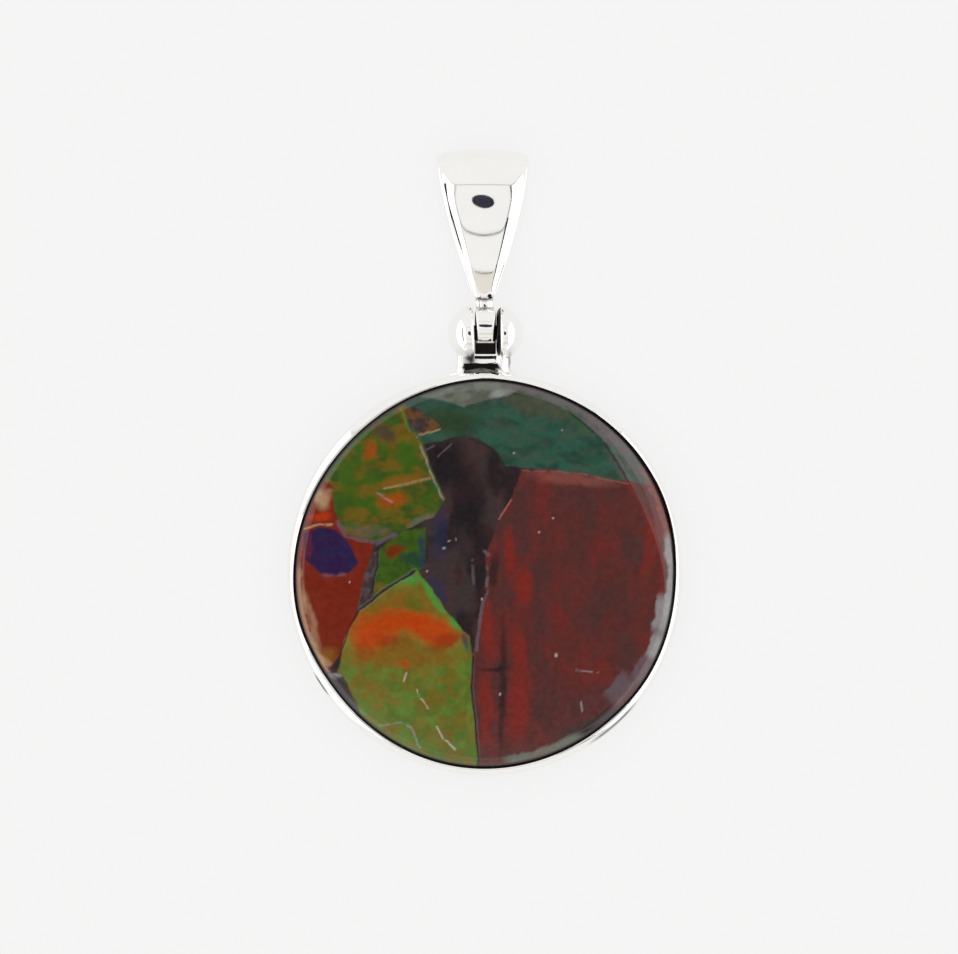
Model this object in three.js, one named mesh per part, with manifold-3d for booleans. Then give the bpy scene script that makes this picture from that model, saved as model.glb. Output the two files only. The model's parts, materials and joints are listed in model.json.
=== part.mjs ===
// A round ammolite pendant: a polished disc of fossil shell in a silver bezel, with a small hinge of
// two balls at the top of the bezel and a tapered bail that swings between them.
//
// Millimetres. The pendant lies on its back: +Z points out of the stone's face, +Y from the stone to
// the bail, and the origin is the middle of the back plate's flat back.

import * as THREE from 'three';
import { mergeVertices } from 'three/addons/utils/BufferGeometryUtils.js';
import Module from 'manifold-3d';

const wasm = await Module();
wasm.setup();

// ---------------------------------------------------------------- driving dimensions

const ROUND_STEPS = 80;          // facets round the stone, the band and the plate
const OVAL = 1.015;              // the setting is a little taller than wide
const JOINT_GAP = 0.02;          // between pieces that are soldered or pressed together

const PLATE_RADIUS = 10.32;
const PLATE_THICKNESS = 0.5;
const PLATE_EDGE = 0.08;         // softened edge

const STONE_RADIUS = 10.0;
const STONE_BACK_EDGE = 0.15;    // softened edge at the back of the stone
const GIRDLE_TOP = 3.2;          // where the bevel begins
const STONE_CROWN = 4.3;         // middle of the very slightly domed face

// The bevel's roundness and the shoulder that ends it: [in from the stone's radius, height].
const BEVEL_CURVE = [
  [0.04, 3.55],
  [0.14, 3.8],
  [0.3, 3.99],
];
const SHOULDER = [0.55, 4.12];

// The dome of the face: [in from the stone's radius, below the crown].
const DOME_CURVE = [
  [1.75, 0.12],
  [5.05, 0.03],
];

const WIDE_BEVEL = 0.62;         // extra width of the bevel where it was ground back
const WIDE_BEVEL_ANGLE = 0.45;   // radians above +X
const WIDE_BEVEL_SPREAD = 0.42;  // radians

const BAND_OUTER_RADIUS = 10.32;
const BAND_INNER_RADIUS = 10.03;
const BAND_TOP = 3.92;

// The band's rim, rolled inward over the stone's edge: [radius, below the top], from outside to inside.
const RIM_CURVE = [
  [10.32, 0.16],
  [10.27, 0.05],
  [10.175, 0],
  [10.045, 0.04],
  [9.93, 0.17],
  [9.95, 0.24],
  [10.03, 0.5],
];

const HINGE_Y = 12.56;
const HINGE_Z = 2.12;
const BALL_RADIUS = 1.5;
const BALL_SPACING = 0.92;       // between the two balls' centres
const BALLS_X = -0.02;
const BALLS_DROP = 0.06;         // the balls sit this far below the hinge axis
const BALL_STEPS = 32;           // facets round a ball
const BALL_RINGS = 22;           // and from one side of it to the other
const EAR_GAP = 1.35;            // between the balls' flat inner faces
const EAR_GAP_X = 0.1;
const EAR_GAP_REACH = 1.22;      // how far the cut between the balls reaches below the hinge axis
const PIN_RADIUS = 0.38;
const PIN_STEPS = 24;

const BASE_X = -0.13;            // the base and the posts stand a little to -X
const POST_SPACING = 1.92;
const POST_RADIUS = 0.45;
const POST_STEPS = 16;
const BASE_DEPTH = 0.9;
const BASE_EDGE = 0.12;          // bevelled edges of the base
const BASE_HALF_WIDTH = 1.41;
const BASE_TOP_Y = 11.25;
const BASE_VALLEY_Y = 10.95;     // the dip in its top between the posts
const BASE_SEAT_DEPTH = 0.5;     // how far the base is sunk before the band is cut out of it
const FLARE_HALF_WIDTH = 1.85;   // solder that spreads along the band
const FLARE_TOP_Y = 10.62;
const FLARE_EDGE = 0.08;

const BAIL_HEIGHT = 9.6;         // top of the bail above the hinge axis
const BAIL_SHOULDER = 6.89;      // height where the bail is deepest
const BAIL_HALF_DEPTH = 2.1;
const BAIL_FOOT_HEIGHT = 1.62;
const BAIL_FOOT_DEPTH = 0.68;
const FOOT_SLOPE = 0.47;         // radians that the strap leans out at its foot
const FOOT_REACH = 1.6;          // how long the curve keeps that slope
const SHOULDER_REACH = 1.46;     // how long it runs straight down from the shoulder
const CROWN_REACH = 1.62;        // how long it runs straight up from the shoulder
const STRAP_EDGE = 0.36;         // thickness of the strap at its edges
const STRAP_ROUNDING = 0.13;     // at the strap's four long corners
const STRAP_STEPS = 52;
const STRAP_COLUMNS = 8;         // facets across the strap's outside

const EYE_RADIUS = 1.05;
const EYE_RISE = 0.34;           // the eye's round is centred this far above the hinge axis
const EYE_STEPS = 28;
const EYE_BORE_RADIUS = 0.44;
const NECK_HALF_DEPTH = 0.62;
const NECK_TOP = 2.3;

// These lists are read at a height above the hinge axis.
// Where the bail's middle is sideways: it leans a little to -X.
const BAIL_MIDDLES = [
  [1.0, 0],
  [1.62, -0.068],
  [9.6, -0.156],
];

// Half the width of the eye and the neck.
const EYE_HALF_WIDTHS = [
  [-0.71, 0.4],
  [0, 0.44],
  [1.0, 0.535],
  [1.62, 0.585],
];

// Half the width of the strap.
const STRAP_HALF_WIDTHS = [
  [1.6, 0.60],
  [2.5, 0.855],
  [3.94, 1.35],
  [5.8, 1.87],
  [7.62, 2.23],
  [9.0, 2.39],
  [9.6, 2.42],
];

// How far the strap's outside is domed across its width.
const STRAP_CROWNS = [
  [1.6, 0.05],
  [2.7, 0.09],
  [4.1, 0.17],
  [5.5, 0.25],
  [7.6, 0.34],
  [8.5, 0.35],
  [9.6, 0.28],
];

// ---------------------------------------------------------------- materials

function silver(name, color, roughness) {
  return new THREE.MeshStandardMaterial({ name, color, roughness, metalness: 1 });
}

const materials = {
  stone: new THREE.MeshStandardMaterial({ name: 'ammolite', color: 0x6d3a2c, roughness: 0.15, metalness: 0 }),
  band: silver('bezel silver', 0xe6e4e0, 0.1),
  plate: silver('plate silver', 0xd8d6d0, 0.25),
  bracket: silver('bracket silver', 0xe2e0dc, 0.12),
  pin: silver('pin silver', 0xcfcdc8, 0.2),
  bail: silver('bail silver', 0xebeae6, 0.08),
};

// ---------------------------------------------------------------- helpers

// A geometry with only positions, its vertices joined and its collapsed triangles dropped.
function closedBody(geometry) {
  const bare = geometry.clone();
  bare.deleteAttribute('normal');
  bare.deleteAttribute('uv');
  const merged = mergeVertices(bare, 1e-4);
  const kept = [];
  for (let i = 0; i < merged.index.count; i += 3) {
    const [a, b, c] = [0, 1, 2].map((k) => merged.index.getX(i + k));
    if (a !== b && b !== c && c !== a) kept.push(a, b, c);
  }
  merged.setIndex(kept);
  return merged;
}

function toSolid(geometry) {
  const body = closedBody(geometry);
  return new wasm.Manifold(new wasm.Mesh({
    numProp: 3,
    vertProperties: new Float32Array(body.attributes.position.array),
    triVerts: new Uint32Array(body.index.array),
  }));
}

function toGeometry(solid) {
  const mesh = solid.getMesh();
  const geometry = new THREE.BufferGeometry();
  geometry.setAttribute('position', new THREE.BufferAttribute(mesh.vertProperties, 3));
  geometry.setIndex(new THREE.BufferAttribute(mesh.triVerts, 1));
  geometry.computeVertexNormals();
  return geometry;
}

function namedMesh(name, geometry, material) {
  const mesh = new THREE.Mesh(geometry, material);
  mesh.name = name;
  return mesh;
}

// A profile of [radius, height] pairs turned about Z and made slightly oval.
function turned(profile) {
  const points = profile.map(([radius, height]) => new THREE.Vector2(radius, height));
  const geometry = new THREE.LatheGeometry(points, ROUND_STEPS);
  geometry.rotateX(Math.PI / 2);
  geometry.scale(1, OVAL, 1);
  return geometry;
}

// A skin over a row of rings with the same number of points, closed by a fan at each end.
function loft(rings) {
  const count = rings[0].length;
  const positions = rings.flat().flatMap((point) => point.toArray());
  const triangles = [];
  for (let ring = 0; ring + 1 < rings.length; ring += 1) {
    for (let side = 0; side < count; side += 1) {
      const a = ring * count + side;
      const b = ring * count + (side + 1) % count;
      triangles.push(a, b + count, b, a, a + count, b + count);
    }
  }
  for (const [ring, isStart] of [[0, true], [rings.length - 1, false]]) {
    const centre = new THREE.Vector3();
    rings[ring].forEach((point) => centre.add(point));
    centre.divideScalar(count);
    const hub = positions.length / 3;
    positions.push(...centre.toArray());
    for (let side = 0; side < count; side += 1) {
      const a = ring * count + side;
      const b = ring * count + (side + 1) % count;
      triangles.push(...(isStart ? [a, b, hub] : [b, a, hub]));
    }
  }
  const geometry = new THREE.BufferGeometry();
  geometry.setAttribute('position', new THREE.Float32BufferAttribute(positions, 3));
  geometry.setIndex(triangles);
  return geometry;
}

// A value read off a list of [x, y] pairs, straight between them.
function interpolate(pairs, x) {
  const last = pairs.length - 1;
  if (x <= pairs[0][0]) return pairs[0][1];
  if (x >= pairs[last][0]) return pairs[last][1];
  const next = pairs.findIndex(([at]) => at >= x);
  const [x0, y0] = pairs[next - 1];
  const [x1, y1] = pairs[next];
  return y0 + (y1 - y0) * (x - x0) / (x1 - x0);
}

// ---------------------------------------------------------------- the stone

// How much wider the ground bevel is at an angle round the stone.
function extraBevel(angle) {
  const away = (angle - WIDE_BEVEL_ANGLE) / WIDE_BEVEL_SPREAD;
  return WIDE_BEVEL * Math.exp(-away * away);
}

// The bevel is a rounded quarter in profile, and its inner edge moves in where it was ground back.
function stone() {
  const back = PLATE_THICKNESS + JOINT_GAP;
  const shoulderRadius = STONE_RADIUS - SHOULDER[0];
  const geometry = turned([
    [0, back],
    [STONE_RADIUS - STONE_BACK_EDGE, back],
    [STONE_RADIUS, back + STONE_BACK_EDGE],
    [STONE_RADIUS, GIRDLE_TOP],
    ...BEVEL_CURVE.map(([inward, height]) => [STONE_RADIUS - inward, height]),
    [shoulderRadius, SHOULDER[1]],
    ...DOME_CURVE.map(([inward, drop]) => [STONE_RADIUS - inward, STONE_CROWN - drop]),
    [0, STONE_CROWN],
  ]);
  const position = geometry.attributes.position;
  for (let i = 0; i < position.count; i += 1) {
    const x = position.getX(i);
    const y = position.getY(i);
    const radius = Math.hypot(x, y / OVAL);
    const onShoulder = Math.abs(radius - shoulderRadius) < 1e-3 && position.getZ(i) > GIRDLE_TOP;
    if (onShoulder) {
      const inward = 1 - extraBevel(Math.atan2(y, x)) / radius;
      position.setXY(i, x * inward, y * inward);
    }
  }
  return closedBody(geometry);
}

// ---------------------------------------------------------------- the bezel

function bezelWall() {
  const foot = PLATE_THICKNESS + JOINT_GAP;
  return closedBody(turned([
    [BAND_INNER_RADIUS, foot],
    [BAND_OUTER_RADIUS, foot],
    ...RIM_CURVE.map(([radius, drop]) => [radius, BAND_TOP - drop]),
    [BAND_INNER_RADIUS, foot],
  ]));
}

function backPlate() {
  return closedBody(turned([
    [0, 0],
    [PLATE_RADIUS - PLATE_EDGE, 0],
    [PLATE_RADIUS, PLATE_EDGE],
    [PLATE_RADIUS, PLATE_THICKNESS],
    [0, PLATE_THICKNESS],
  ]));
}

// ---------------------------------------------------------------- the hinge

// A cylinder along X through the hinge axis.
function axle(radius, length, centreX, steps) {
  const geometry = new THREE.CylinderGeometry(radius, radius, length, steps);
  geometry.rotateZ(Math.PI / 2);
  geometry.translate(centreX, HINGE_Y, HINGE_Z);
  return toSolid(geometry);
}

// The two balls overlap until the cut between them gives each a flat inner face.
function hingeBalls() {
  const balls = [-1, 1].map((side) => {
    const geometry = new THREE.SphereGeometry(BALL_RADIUS, BALL_STEPS, BALL_RINGS);
    geometry.rotateZ(Math.PI / 2);
    geometry.translate(BALLS_X + side * BALL_SPACING / 2, HINGE_Y - BALLS_DROP, HINGE_Z);
    return toSolid(geometry);
  });
  return balls[0].add(balls[1]);
}

// A round post under each ball, from inside the base up to the ball's middle.
function hingePosts() {
  const length = HINGE_Y - BASE_VALLEY_Y;
  const posts = [-1, 1].map((side) => {
    const geometry = new THREE.CylinderGeometry(POST_RADIUS, POST_RADIUS, length, POST_STEPS);
    geometry.translate(BASE_X + side * POST_SPACING / 2, HINGE_Y - length / 2, HINGE_Z);
    return toSolid(geometry);
  });
  return posts[0].add(posts[1]);
}

// The base with its solder flares, as one outline seen from the front.
function hingeBase() {
  const side = BASE_HALF_WIDTH;
  const bandY = BAND_OUTER_RADIUS * OVAL;
  const valleyControl = 2 * BASE_VALLEY_Y - BASE_TOP_Y;
  const outline = new THREE.Shape();
  outline.moveTo(-FLARE_HALF_WIDTH, bandY - BASE_SEAT_DEPTH);
  outline.lineTo(FLARE_HALF_WIDTH, bandY - BASE_SEAT_DEPTH);
  outline.lineTo(FLARE_HALF_WIDTH, bandY - FLARE_EDGE);
  outline.quadraticCurveTo(side, bandY, side, FLARE_TOP_Y);
  outline.lineTo(side, BASE_TOP_Y);
  outline.quadraticCurveTo(0, valleyControl, -side, BASE_TOP_Y);
  outline.lineTo(-side, FLARE_TOP_Y);
  outline.quadraticCurveTo(-side, bandY, -FLARE_HALF_WIDTH, bandY - FLARE_EDGE);
  outline.closePath();
  const geometry = new THREE.ExtrudeGeometry(outline, {
    depth: BASE_DEPTH - 2 * BASE_EDGE,
    curveSegments: 6,
    bevelSize: BASE_EDGE / 2,
    bevelOffset: -BASE_EDGE / 2,
    bevelThickness: BASE_EDGE,
    bevelSegments: 1,
  });
  geometry.translate(BASE_X, 0, HINGE_Z - BASE_DEPTH / 2 + BASE_EDGE);
  return toSolid(geometry);
}

function hingeBracket() {
  const gapHeight = EAR_GAP_REACH + 2 * BALL_RADIUS;
  const gap = new THREE.BoxGeometry(EAR_GAP, gapHeight, 4 * BALL_RADIUS);
  gap.translate(EAR_GAP_X, HINGE_Y - EAR_GAP_REACH + gapHeight / 2, HINGE_Z);
  const seatRadius = BAND_OUTER_RADIUS + JOINT_GAP;
  const band = turned([[0, 0], [seatRadius, 0], [seatRadius, STONE_CROWN], [0, STONE_CROWN]]);
  const bore = axle(PIN_RADIUS + JOINT_GAP, 4 * BALL_RADIUS, BALLS_X, PIN_STEPS);
  const solid = hingeBase()
    .add(hingePosts())
    .add(hingeBalls())
    .subtract(toSolid(gap))
    .subtract(bore)
    .subtract(toSolid(band));
  return toGeometry(solid);
}

// The pin's ends are finished flush with the balls.
function hingePin() {
  const rod = axle(PIN_RADIUS, 4 * BALL_RADIUS, BALLS_X, PIN_STEPS);
  return toGeometry(rod.intersect(hingeBalls()));
}

// ---------------------------------------------------------------- the bail

// The strap's outer middle line seen from the side, as a curve of (depth, height) from foot to foot.
function bailSide() {
  const side = new THREE.CurvePath();
  const at = (depth, height) => new THREE.Vector2(depth, height);
  const quarter = 0.5523;        // how a cubic curve follows the end of a quarter ellipse
  for (const face of [1, -1]) {
    const half = [
      new THREE.CubicBezierCurve(
        at(face * BAIL_FOOT_DEPTH, BAIL_FOOT_HEIGHT),
        at(face * (BAIL_FOOT_DEPTH + FOOT_REACH * Math.sin(FOOT_SLOPE)),
          BAIL_FOOT_HEIGHT + FOOT_REACH * Math.cos(FOOT_SLOPE)),
        at(face * BAIL_HALF_DEPTH, BAIL_SHOULDER - SHOULDER_REACH),
        at(face * BAIL_HALF_DEPTH, BAIL_SHOULDER),
      ),
      new THREE.CubicBezierCurve(
        at(face * BAIL_HALF_DEPTH, BAIL_SHOULDER),
        at(face * BAIL_HALF_DEPTH, BAIL_SHOULDER + CROWN_REACH),
        at(face * BAIL_HALF_DEPTH * quarter, BAIL_HEIGHT),
        at(0, BAIL_HEIGHT),
      ),
    ];
    if (face > 0) {
      half.forEach((curve) => side.add(curve));
    } else {
      half.reverse().forEach((curve) => {
        side.add(new THREE.CubicBezierCurve(curve.v3, curve.v2, curve.v1, curve.v0));
      });
    }
  }
  return side;
}

// One section of the strap: a crowned outside, softened edges and a flat inside.
function strapSection(point, tangent) {
  const halfWidth = interpolate(STRAP_HALF_WIDTHS, point.y);
  const crown = interpolate(STRAP_CROWNS, point.y);
  const middle = interpolate(BAIL_MIDDLES, point.y);
  const flat = halfWidth - STRAP_ROUNDING;
  const outward = new THREE.Vector2(tangent.y, -tangent.x);
  const outline = [];
  for (let column = 0; column <= STRAP_COLUMNS; column += 1) {
    const across = 1 - 2 * column / STRAP_COLUMNS;
    outline.push([across * flat, -crown * across * across]);
  }
  const inside = -crown - STRAP_EDGE;
  outline.push(
    [-halfWidth, -crown - STRAP_ROUNDING],
    [-halfWidth, inside + STRAP_ROUNDING],
    [-flat, inside],
    [0, inside],
    [flat, inside],
    [halfWidth, inside + STRAP_ROUNDING],
    [halfWidth, -crown - STRAP_ROUNDING],
  );
  return outline.map(([x, out]) => new THREE.Vector3(
    middle + x,
    HINGE_Y + point.y + outward.y * out,
    HINGE_Z + point.x + outward.x * out,
  ));
}

function strap() {
  const side = bailSide();
  const rings = [];
  for (let step = 0; step <= STRAP_STEPS; step += 1) {
    const along = step / STRAP_STEPS;
    rings.push(strapSection(side.getPointAt(along), side.getTangentAt(along)));
  }
  return toSolid(loft(rings));
}

// The flat eye on the pin and the neck that joins it to the strap: one outline seen from the side,
// a unit wide, then widened to what the eye measures at each height.
function eyeAndNeck() {
  const neckAngle = Math.asin(NECK_HALF_DEPTH / EYE_RADIUS);
  const outline = new THREE.Shape();
  outline.moveTo(NECK_HALF_DEPTH, NECK_TOP);
  outline.lineTo(-NECK_HALF_DEPTH, NECK_TOP);
  outline.absarc(0, EYE_RISE, EYE_RADIUS, Math.PI / 2 + neckAngle, Math.PI * 5 / 2 - neckAngle, false);
  outline.closePath();
  const geometry = new THREE.ExtrudeGeometry(outline, {
    depth: 1,
    curveSegments: EYE_STEPS,
    bevelEnabled: false,
  });
  geometry.translate(0, 0, -0.5);
  geometry.rotateY(-Math.PI / 2);
  const position = geometry.attributes.position;
  for (let i = 0; i < position.count; i += 1) {
    const height = position.getY(i);
    const width = 2 * interpolate(EYE_HALF_WIDTHS, height);
    position.setX(i, interpolate(BAIL_MIDDLES, height) + width * position.getX(i));
  }
  geometry.translate(0, HINGE_Y, HINGE_Z);
  return toSolid(geometry);
}

function bail() {
  const bore = axle(EYE_BORE_RADIUS, 2 * EYE_RADIUS, 0, PIN_STEPS);
  return toGeometry(strap().add(eyeAndNeck()).subtract(bore));
}

// ---------------------------------------------------------------- the pendant

const setting = new THREE.Group();
setting.add(namedMesh('ammolite', stone(), materials.stone));
setting.add(namedMesh('bezel_wall', bezelWall(), materials.band));
setting.add(namedMesh('back_plate', backPlate(), materials.plate));
setting.add(namedMesh('hinge_bracket', hingeBracket(), materials.bracket));
setting.add(namedMesh('hinge_pin', hingePin(), materials.pin));

const pendant = new THREE.Group();
pendant.add(setting);
pendant.add(namedMesh('bail', bail(), materials.bail));

export default pendant;
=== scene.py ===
"""The looks of a round ammolite pendant: a polished stone of many iridescent plates in a silver bezel,
a hinge of two small balls, and a tapered silver bail.

Shapes are worked out in millimetres, in the frame of the CAD model, and become metres in new_object().
"""

import json
from math import copysign, cos, hypot, pi, radians, sin, sqrt

import bmesh
import bpy
import numpy as np
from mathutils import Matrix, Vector


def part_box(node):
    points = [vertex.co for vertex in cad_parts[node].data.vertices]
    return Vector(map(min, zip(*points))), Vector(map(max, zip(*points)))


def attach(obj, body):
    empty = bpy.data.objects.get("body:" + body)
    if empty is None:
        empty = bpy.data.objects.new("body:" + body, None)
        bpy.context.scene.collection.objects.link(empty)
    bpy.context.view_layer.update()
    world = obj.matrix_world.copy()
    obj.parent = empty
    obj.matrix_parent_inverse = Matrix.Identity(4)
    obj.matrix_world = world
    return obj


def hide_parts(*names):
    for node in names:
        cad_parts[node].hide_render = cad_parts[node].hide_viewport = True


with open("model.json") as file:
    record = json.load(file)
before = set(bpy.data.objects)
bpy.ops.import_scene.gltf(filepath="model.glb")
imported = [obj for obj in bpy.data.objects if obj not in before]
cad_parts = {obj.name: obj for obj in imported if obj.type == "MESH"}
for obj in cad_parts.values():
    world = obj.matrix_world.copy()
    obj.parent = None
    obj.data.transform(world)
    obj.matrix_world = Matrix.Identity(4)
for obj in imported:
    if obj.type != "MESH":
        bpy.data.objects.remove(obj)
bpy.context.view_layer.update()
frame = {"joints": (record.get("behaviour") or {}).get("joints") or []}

MM = 0.001


def millimetres(node):
    """The lowest and highest corner of a CAD node."""
    low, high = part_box(node)
    return low / MM, high / MM


# --- sizes, in millimetres

PLATE_HIGH = millimetres("back_plate")[1]
BAND_LOW, BAND_HIGH = millimetres("bezel_wall")
STONE_LOW, STONE_HIGH = millimetres("ammolite")
PIN_LOW, PIN_HIGH = millimetres("hinge_pin")
BAIL_HIGH = millimetres("bail")[1]
HINGE = Vector(frame["joints"][0]["pos_m"]) / MM

OVAL = BAND_HIGH.y / BAND_HIGH.x
BAND_RADIUS = BAND_HIGH.x
BAND_TOP = BAND_HIGH.z
BAND_INNER_RADIUS = 10.03
THIN_SIDE = 0.12  # the wall was rolled thinner on its right side, told in degrees clockwise from the top
THIN_SIDE_MIDDLE = 92.0
THIN_SIDE_SPREAD = 22.0
WALL_STEP = 0.3
PLATE_ROUNDING = 0.08  # of the back plate's lower edge

STONE_RADIUS = STONE_HIGH.x
STONE_BACK_EDGE = 0.15
STONE_CROWN = STONE_HIGH.z
SHOULDER_RADIUS = 9.45
SHOULDER_Z = 4.12
WIDE_BEVEL = 0.62
WIDE_BEVEL_ANGLE = 0.45
WIDE_BEVEL_SPREAD = 0.42

BALL_RADIUS = 1.5
BALL_SPACING = 0.92
BALLS_X = -0.02
BALLS_DROP = 0.06
BALL_CREST = 0.25  # the balls are fullest this far from their flat inner faces
BALL_ROUNDING = 0.2  # of the edge round the flat face
FACE_LEAN = 0.05  # the left flat face leans out above this height
LEAN_START_Y = 12.0
EAR_GAP = 1.35
EAR_GAP_X = 0.1
EAR_GAP_REACH = 1.22
PIN_RADIUS = 0.38
PIN_CLEARANCE = 0.02
PIN_BARE_HALF = 0.62  # the pin lies bare in the gap for this long on each side
BASE_X = -0.13
POST_SPACING = 1.92
POST_RADIUS = 0.45
BASE_DEPTH = 0.9
BASE_HALF_WIDTH = 1.41
BASE_TOP_Y = 11.25
BASE_VALLEY_Y = 10.95
BASE_FLAT_LEFT = -1.12  # the flat on the base's front
BASE_FLAT_RIGHT = 0.585
BASE_FLAT_TOP = 10.93
WEB_HALF_DEPTH = 0.42
WEB_TOP = 1.185  # the web's top is this far below the hinge axis
BOSS_RADIUS = 1.32  # a low boss on the right ball's inner face, darkened with painted shade
BOSS_X = 0.555
CORE_LEFT = -0.56  # the core of the eye, darkened with painted shade, wider than its bright front
CORE_RIGHT = 0.535
CORE_RADIUS = 1.13
CORE_HALF_DEPTH = 0.66
FLARE_HALF_WIDTH = 1.85
FLARE_TOP_Y = 10.62

BAIL_HEIGHT = BAIL_HIGH.y - HINGE.y
BAIL_SHOULDER = 6.89
BAIL_HALF_DEPTH = 2.1
BAIL_FOOT_HEIGHT = 1.62
CROWN_REACH = 1.62
STRAP_EDGE = 0.36
STRAP_ROUNDING = 0.16
STRAP_TIP = 0.55  # the strap's two feet end in a rounded tongue of this length
EDGE_TURN = 0.45  # the outside turns down more over this width at each edge
EDGE_TURN_DROP = 0.2  # per square millimetre
LOW_EDGE_TURN = 1.3  # and this share more near the strap's foot, below this height
LOW_EDGE_HEIGHT = 3.8
EYE_RADIUS = 1.05
EYE_RISE = 0.34
EYE_BORE_RADIUS = 0.44
NECK_ROUND = 0.8  # how round the neck's front and back are
NECK_NARROWING = 0.2

# Read at a height above the hinge axis, as in the CAD model.
BAIL_MIDDLES = [(1.0, 0.0), (1.62, -0.068), (9.6, -0.156)]
EYE_HALF_WIDTHS = [(-0.71, 0.4), (0.0, 0.44), (1.0, 0.535), (1.62, 0.585)]
STRAP_HALF_WIDTHS = [(1.6, 0.60), (2.5, 0.855), (3.94, 1.35), (5.8, 1.87), (7.62, 2.23), (9.0, 2.39),
                     (9.6, 2.42)]
STRAP_CROWNS = [(1.6, 0.03), (2.7, 0.065), (4.1, 0.16), (5.5, 0.235), (6.7, 0.27), (7.6, 0.31), (8.5, 0.31),
                (9.6, 0.24)]

# How finely the shapes are divided
ROUND_STEPS = 360
BALL_STEPS = 72
BALL_RINGS = 44
POST_STEPS = 48
BORE_STEPS = 64
WEB_STEPS = 40
WEB_RINGS = 25
BOSS_RINGS = 16
CORE_STEPS = 96
STRAP_LOW_STEPS = 110
STRAP_HIGH_STEPS = 60
STRAP_ACROSS = 56
EYE_STEPS = 60

# --- camera

CAMERA_X = -0.347
CAMERA_Y = 5.026
CAMERA_DISTANCE = 250.0  # above the rim
VIEW_WIDTH = 49.64  # of the picture at the rim
SENSOR_WIDTH = 36.0


def add_camera():
    data = bpy.data.cameras.new("camera")
    data.sensor_width = SENSOR_WIDTH
    data.lens = SENSOR_WIDTH * CAMERA_DISTANCE / VIEW_WIDTH
    data.clip_start = 0.01
    data.clip_end = 10
    camera = bpy.data.objects.new("camera", data)
    camera.location = Vector((CAMERA_X, CAMERA_Y, BAND_TOP + CAMERA_DISTANCE)) * MM
    bpy.context.scene.collection.objects.link(camera)
    bpy.context.scene.camera = camera


# --- node graphs


class Graph:
    """Short ways to write a shader's nodes."""

    def __init__(self, tree):
        self.tree = tree
        tree.nodes.clear()

    def node(self, kind, settings=None, **inputs):
        made = self.tree.nodes.new(kind)
        for name, value in (settings or {}).items():
            setattr(made, name, value)
        for name, value in inputs.items():
            self.put(made.inputs[name.replace("_", " ")], value)
        return made

    def put(self, socket, value):
        if isinstance(value, bpy.types.NodeSocket):
            self.tree.links.new(value, socket)
        else:
            socket.default_value = value

    def math(self, operation, *values):
        made = self.node("ShaderNodeMath", {"operation": operation})
        for socket, value in zip(made.inputs, values):
            self.put(socket, value)
        return made.outputs[0]

    def add(self, first, second):
        return self.math("ADD", first, second)

    def minus(self, first, second):
        return self.math("SUBTRACT", first, second)

    def times(self, first, *others):
        for other in others:
            first = self.math("MULTIPLY", first, other)
        return first

    def length(self, first, second):
        """The length of two values at right angles."""
        return self.math("SQRT", self.add(self.times(first, first), self.times(second, second)))

    def ramp(self, value, low, high, start=0.0, end=1.0):
        """value carried smoothly from low..high to start..end."""
        made = self.node("ShaderNodeMapRange", {"interpolation_type": "SMOOTHSTEP"}, Value=value,
                         From_Min=low, From_Max=high, To_Min=start, To_Max=end)
        return made.outputs["Result"]

    def mix(self, factor, first, second):
        made = self.node("ShaderNodeMix", {"data_type": "RGBA", "blend_type": "MIX"})
        self.put(made.inputs["Factor"], factor)
        self.put(made.inputs[6], first)
        self.put(made.inputs[7], second)
        return made.outputs[2]

    def noise(self, place, scale, detail=2.0, roughness=0.5):
        made = self.node("ShaderNodeTexNoise", Vector=place, Scale=scale, Detail=detail, Roughness=roughness)
        return made.outputs["Fac"]


def new_material(name):
    material = bpy.data.materials.new(name)
    material.use_nodes = True
    return material, Graph(material.node_tree)


# --- light: a white tent with a round opening

# The tent is told by direction: across is x/z and along is y/z of the ray that leaves the object.
LOWEST_RISE = 0.02  # rays flatter than this count as this steep
PANEL_HALF = 0.47  # half the front panel
PANEL_CORNER = 0.11  # its two rounded lower corners
PANEL_EDGE_HALF = 0.005
LENS_RADIUS = 0.176  # half the width of the camera's dark opening in the front panel
LENS_FLATNESS = 1.2  # the opening is this much wider than it is tall
LENS_LEAN = 0.16  # and its right end is lower
LENS_BLUR = 0.006
LENS_RING = 0.06  # the dark ring round the glass
LOW_SEAM = 0.875  # where the lower panel ends
LOW_SEAM_HALF = 0.006
LOW_SEAM_REACH = 0.25  # to each side
LOW_END = 1.35  # below this the tent is as bright as the front panel again
LOW_SPREAD_LEFT = 0.95  # how fast the column widens below the last seam
LOW_SPREAD_RIGHT = 0.84
SEAM_HALF = 0.012
RIGHT_SEAM_OUT = 0.03  # the lower right seam is wider and lies this far out
RIGHT_SEAM_HALF = 0.035
RIGHT_SEAM_START = 0.35
FAR_SEAM = 1.08  # a second seam on the left
FAR_SEAM_HALF = 0.1
FAR_SEAM_LOW = 0.85
FAR_SEAM_HIGH = 0.5
SOFT = 0.01  # how softly most edges of the tent end
PANEL_LIGHT = (0.93, 0.925, 0.915, 1)
SIDE_LIGHT = (1.35, 1.35, 1.33, 1)
LOW_LIGHT = (0.80, 0.755, 0.70, 1)
LEFT_SEAM_GREY = (0.45, 0.45, 0.45, 1)
RIGHT_SEAM_GREY = (0.10, 0.10, 0.10, 1)
TOP_SEAM_GREY = (0.55, 0.55, 0.55, 1)
DARK = (0.012, 0.012, 0.016, 1)
LENS_GLASS = (0.035, 0.035, 0.055, 1)
BACKGROUND = (0.9106, 0.9106, 0.9066, 1)


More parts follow.
